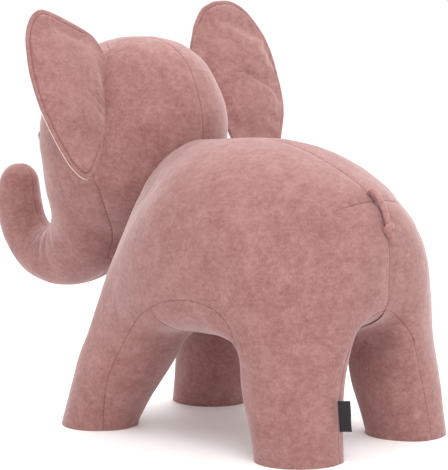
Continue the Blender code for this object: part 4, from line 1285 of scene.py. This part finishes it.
# ------------------------------------------------------------------ tail --
TAIL_WIDE, TAIL_THICK = 9.8 * MM, 7.0 * MM
TAIL_NORMAL = Vector((0.054, 0.621, 0.782))
TAIL_SEAT = Vector((0.0, -0.0016, 0.0026))      # up the seam from the pivot
TAIL_ROUTE = ((0.0000, 0.0050, 0.0025), (0.0000, 0.0130, -0.0020), (0.0002, 0.0222, -0.0130),
              (0.0006, 0.0297, -0.0265), (0.0016, 0.0342, -0.0400))
KNOT_WIDE, KNOT_THICK = 9.4 * MM, 6.8 * MM
KNOT_ROUTE = ((0, 0, -1.5), (0.5, 0.5, 2.5), (3.6, 2.6, 5.2), (5.2, 0.2, 8.6), (1.2, -3.0, 10.2),
              (-4.4, -1.6, 8.2), (-5.0, 2.4, 4.6), (-0.6, 4.4, 3.6), (4.2, 2.8, 7.8),
              (2.6, 0.4, 12.4), (-0.6, 0.6, 15.4), (-1.6, 1.4, 19.0), (-1.2, 1.6, 21.5))


def smooth_path(points, step):
    """Points along a smooth open curve, about a step apart."""
    pts = [2 * points[0] - points[1], *points, 2 * points[-1] - points[-2]]
    out = []
    for i in range(1, len(pts) - 2):
        a, b, c, d = pts[i - 1:i + 3]
        count = max(1, round((c - b).length / step))
        for k in range(count):
            out.append(curve_point(a, b, c, d, k / count))
    out.append(points[-1].copy())
    return out


def tube(path, section, sides):
    """A closed tube: section(t, angle) gives across and through sizes."""
    bm = bmesh.new()
    rings = []
    n = len(path)
    side = Vector((1, 0, 0))
    for i, p in enumerate(path):
        along = (path[min(i + 1, n - 1)] - path[max(i - 1, 0)]).normalized()
        side = (side - along * side.dot(along)).normalized()
        through = along.cross(side)
        ring = []
        for k in range(sides):
            a = 2 * math.pi * k / sides
            u, w = section(i / (n - 1), a)
            ring.append(bm.verts.new(p + side * u + through * w))
        rings.append(ring)
    join_rings(bm, rings)
    for ring in (rings[0], rings[-1]):
        bm.faces.new(ring)
    bmesh.ops.recalc_face_normals(bm, faces=bm.faces)
    return bm


def make_tail():
    root = Vector(joints["tail_lift"]["pos_m"]) + TAIL_SEAT
    points = [root - TAIL_NORMAL * 0.004] + [root + Vector(p) for p in TAIL_ROUTE]
    path = smooth_path(points, 1.2 * MM)

    def section(t, a):
        pinch = 0.62 + 0.38 * smoothstep(t, 0.02, 0.22)
        neck = 1 - 0.22 * smoothstep(t, 0.86, 1.0)
        furrow = 1 - 0.10 * gauss((math.cos(a) - 0.1) / 0.16) * (math.sin(a) > 0)
        ripple = 1 + 0.035 * math.sin(t * 38 + 2 * math.cos(a)) + 0.03 * math.sin(t * 17 + a)
        u = math.cos(a) * TAIL_WIDE / 2 * (0.8 + 0.2 * abs(math.cos(a)))
        w = math.sin(a) * TAIL_THICK / 2 * (1 + 0.15 * abs(math.sin(a)))
        return u * (0.9 + 0.1 * pinch) * neck * ripple, w * pinch * furrow * ripple

    cord = add("tail_tube", mesh_from("tail_tube", tube(path, section, 24)), LIT_TAIL_SUEDE)
    knot = make_knot(path[-1], (path[-1] - path[-4]).normalized())
    for piece, node_name in ((cord, "tail_cord"), (knot, "tail_knot")):
        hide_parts(node_name)
    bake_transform(cord, "base", "tail", root - Vector((0, 0.002, 0)), root + Vector((0, 0.009, 0)))
    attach(knot, "tail")


def make_knot(at, along):
    """An overhand knot in the same tube, with its short end."""
    side = Vector((1, 0, 0))
    side = (side - along * side.dot(along)).normalized()
    front = along.cross(side)
    if front.y < 0:
        front = -front
    route = [Vector(p) * MM for p in KNOT_ROUTE]
    pts = [at + side * p.x + front * p.y + along * p.z for p in route]
    path = smooth_path(pts, 0.9 * MM)

    def section(t, a):
        grow = 0.82 + 0.18 * math.sin(math.pi * min(1, t * 1.1))
        end = 1 - 0.55 * smoothstep(t, 0.93, 1.0)
        fold = 1 - 0.13 * gauss((math.cos(a + 0.6) - 0.2) / 0.2) + 0.04 * math.sin(9 * t * 6 + 3 * a)
        return (math.cos(a) * KNOT_WIDE / 2 * grow * end * fold,
                math.sin(a) * KNOT_THICK / 2 * grow * end * fold)

    mesh = mesh_from("tail_overhand_knot", tube(path, section, 20))
    return add("tail_overhand_knot", mesh, LIT_TAIL_SUEDE)


# ----------------------------------------------------------------- label --
LABEL_SHIFT = Vector((-0.0022, 0.0012, 0.0045))
LABEL_HALF_LONG, LABEL_HALF_WIDE = 20.5 * MM, 7.0 * MM
RIBBON_GAP, RIBBON_THICK = 0.55 * MM, 0.3 * MM     # half the gap inside the fold


def make_label():
    """A blank ribbon folded over, its two ends caught in the leg seam."""
    low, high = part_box("label")
    co = np.array([v.co for v in nodes["label"].data.vertices])
    centre = Vector((low + high) / 2) + LABEL_SHIFT
    axes = np.linalg.svd(co - co.mean(0))[2]
    long_way, out = Vector(axes[0]), Vector(axes[1])
    if long_way.z < 0:
        long_way = -long_way
    foot = centre_of_foot(centre)
    if out.dot(Vector((centre.x - foot.x, centre.y - foot.y, 0))) < 0:
        out = -out
    flat = long_way.cross(out)
    wide, fold = LABEL_HALF_WIDE, LABEL_HALF_WIDE - 0.8 * MM
    span = 2 * wide + 2.2 * MM
    profile = [(span * k / 8 - wide - 3 * MM, RIBBON_GAP) for k in range(9)]
    for k in range(1, 8):
        a = math.pi / 2 - math.pi * k / 8
        profile.append((fold + 0.7 * MM * math.cos(a), RIBBON_GAP * math.sin(a)))
    profile += [(fold - span * k / 8, -RIBBON_GAP) for k in range(9)]
    bm = bmesh.new()
    rows = []
    for j in range(29):
        up = j / 14 - 1
        bend = 0.6 * MM * math.sin(up * 1.9) + 0.3 * MM * math.sin(up * 5)
        rows.append([bm.verts.new(centre + out * u + long_way * (up * LABEL_HALF_LONG)
                                  + flat * (w + bend * (0.4 + u / wide))) for u, w in profile])
    for a, b in zip(rows, rows[1:]):
        for k in range(len(profile) - 1):
            bm.faces.new((a[k], a[k + 1], b[k + 1], b[k]))
    bmesh.ops.recalc_face_normals(bm, faces=bm.faces)
    label = add("blank_label", mesh_from("blank_label", bm), STAYING["label"])
    mod = label.modifiers.new("ribbon", "SOLIDIFY")
    mod.thickness = RIBBON_THICK
    mod.offset = 0
    finish_piece(applied(label), "base", "label", "label")


# ---------------------------------------------------------------- making --
add_camera()
add_studio()
finish_cad_nodes()
head_surface = make_head()
make_body(head_surface)
for ear_side in ("left", "right"):
    make_ear(ear_side)
    make_eye(ear_side)
make_tail()
make_label()
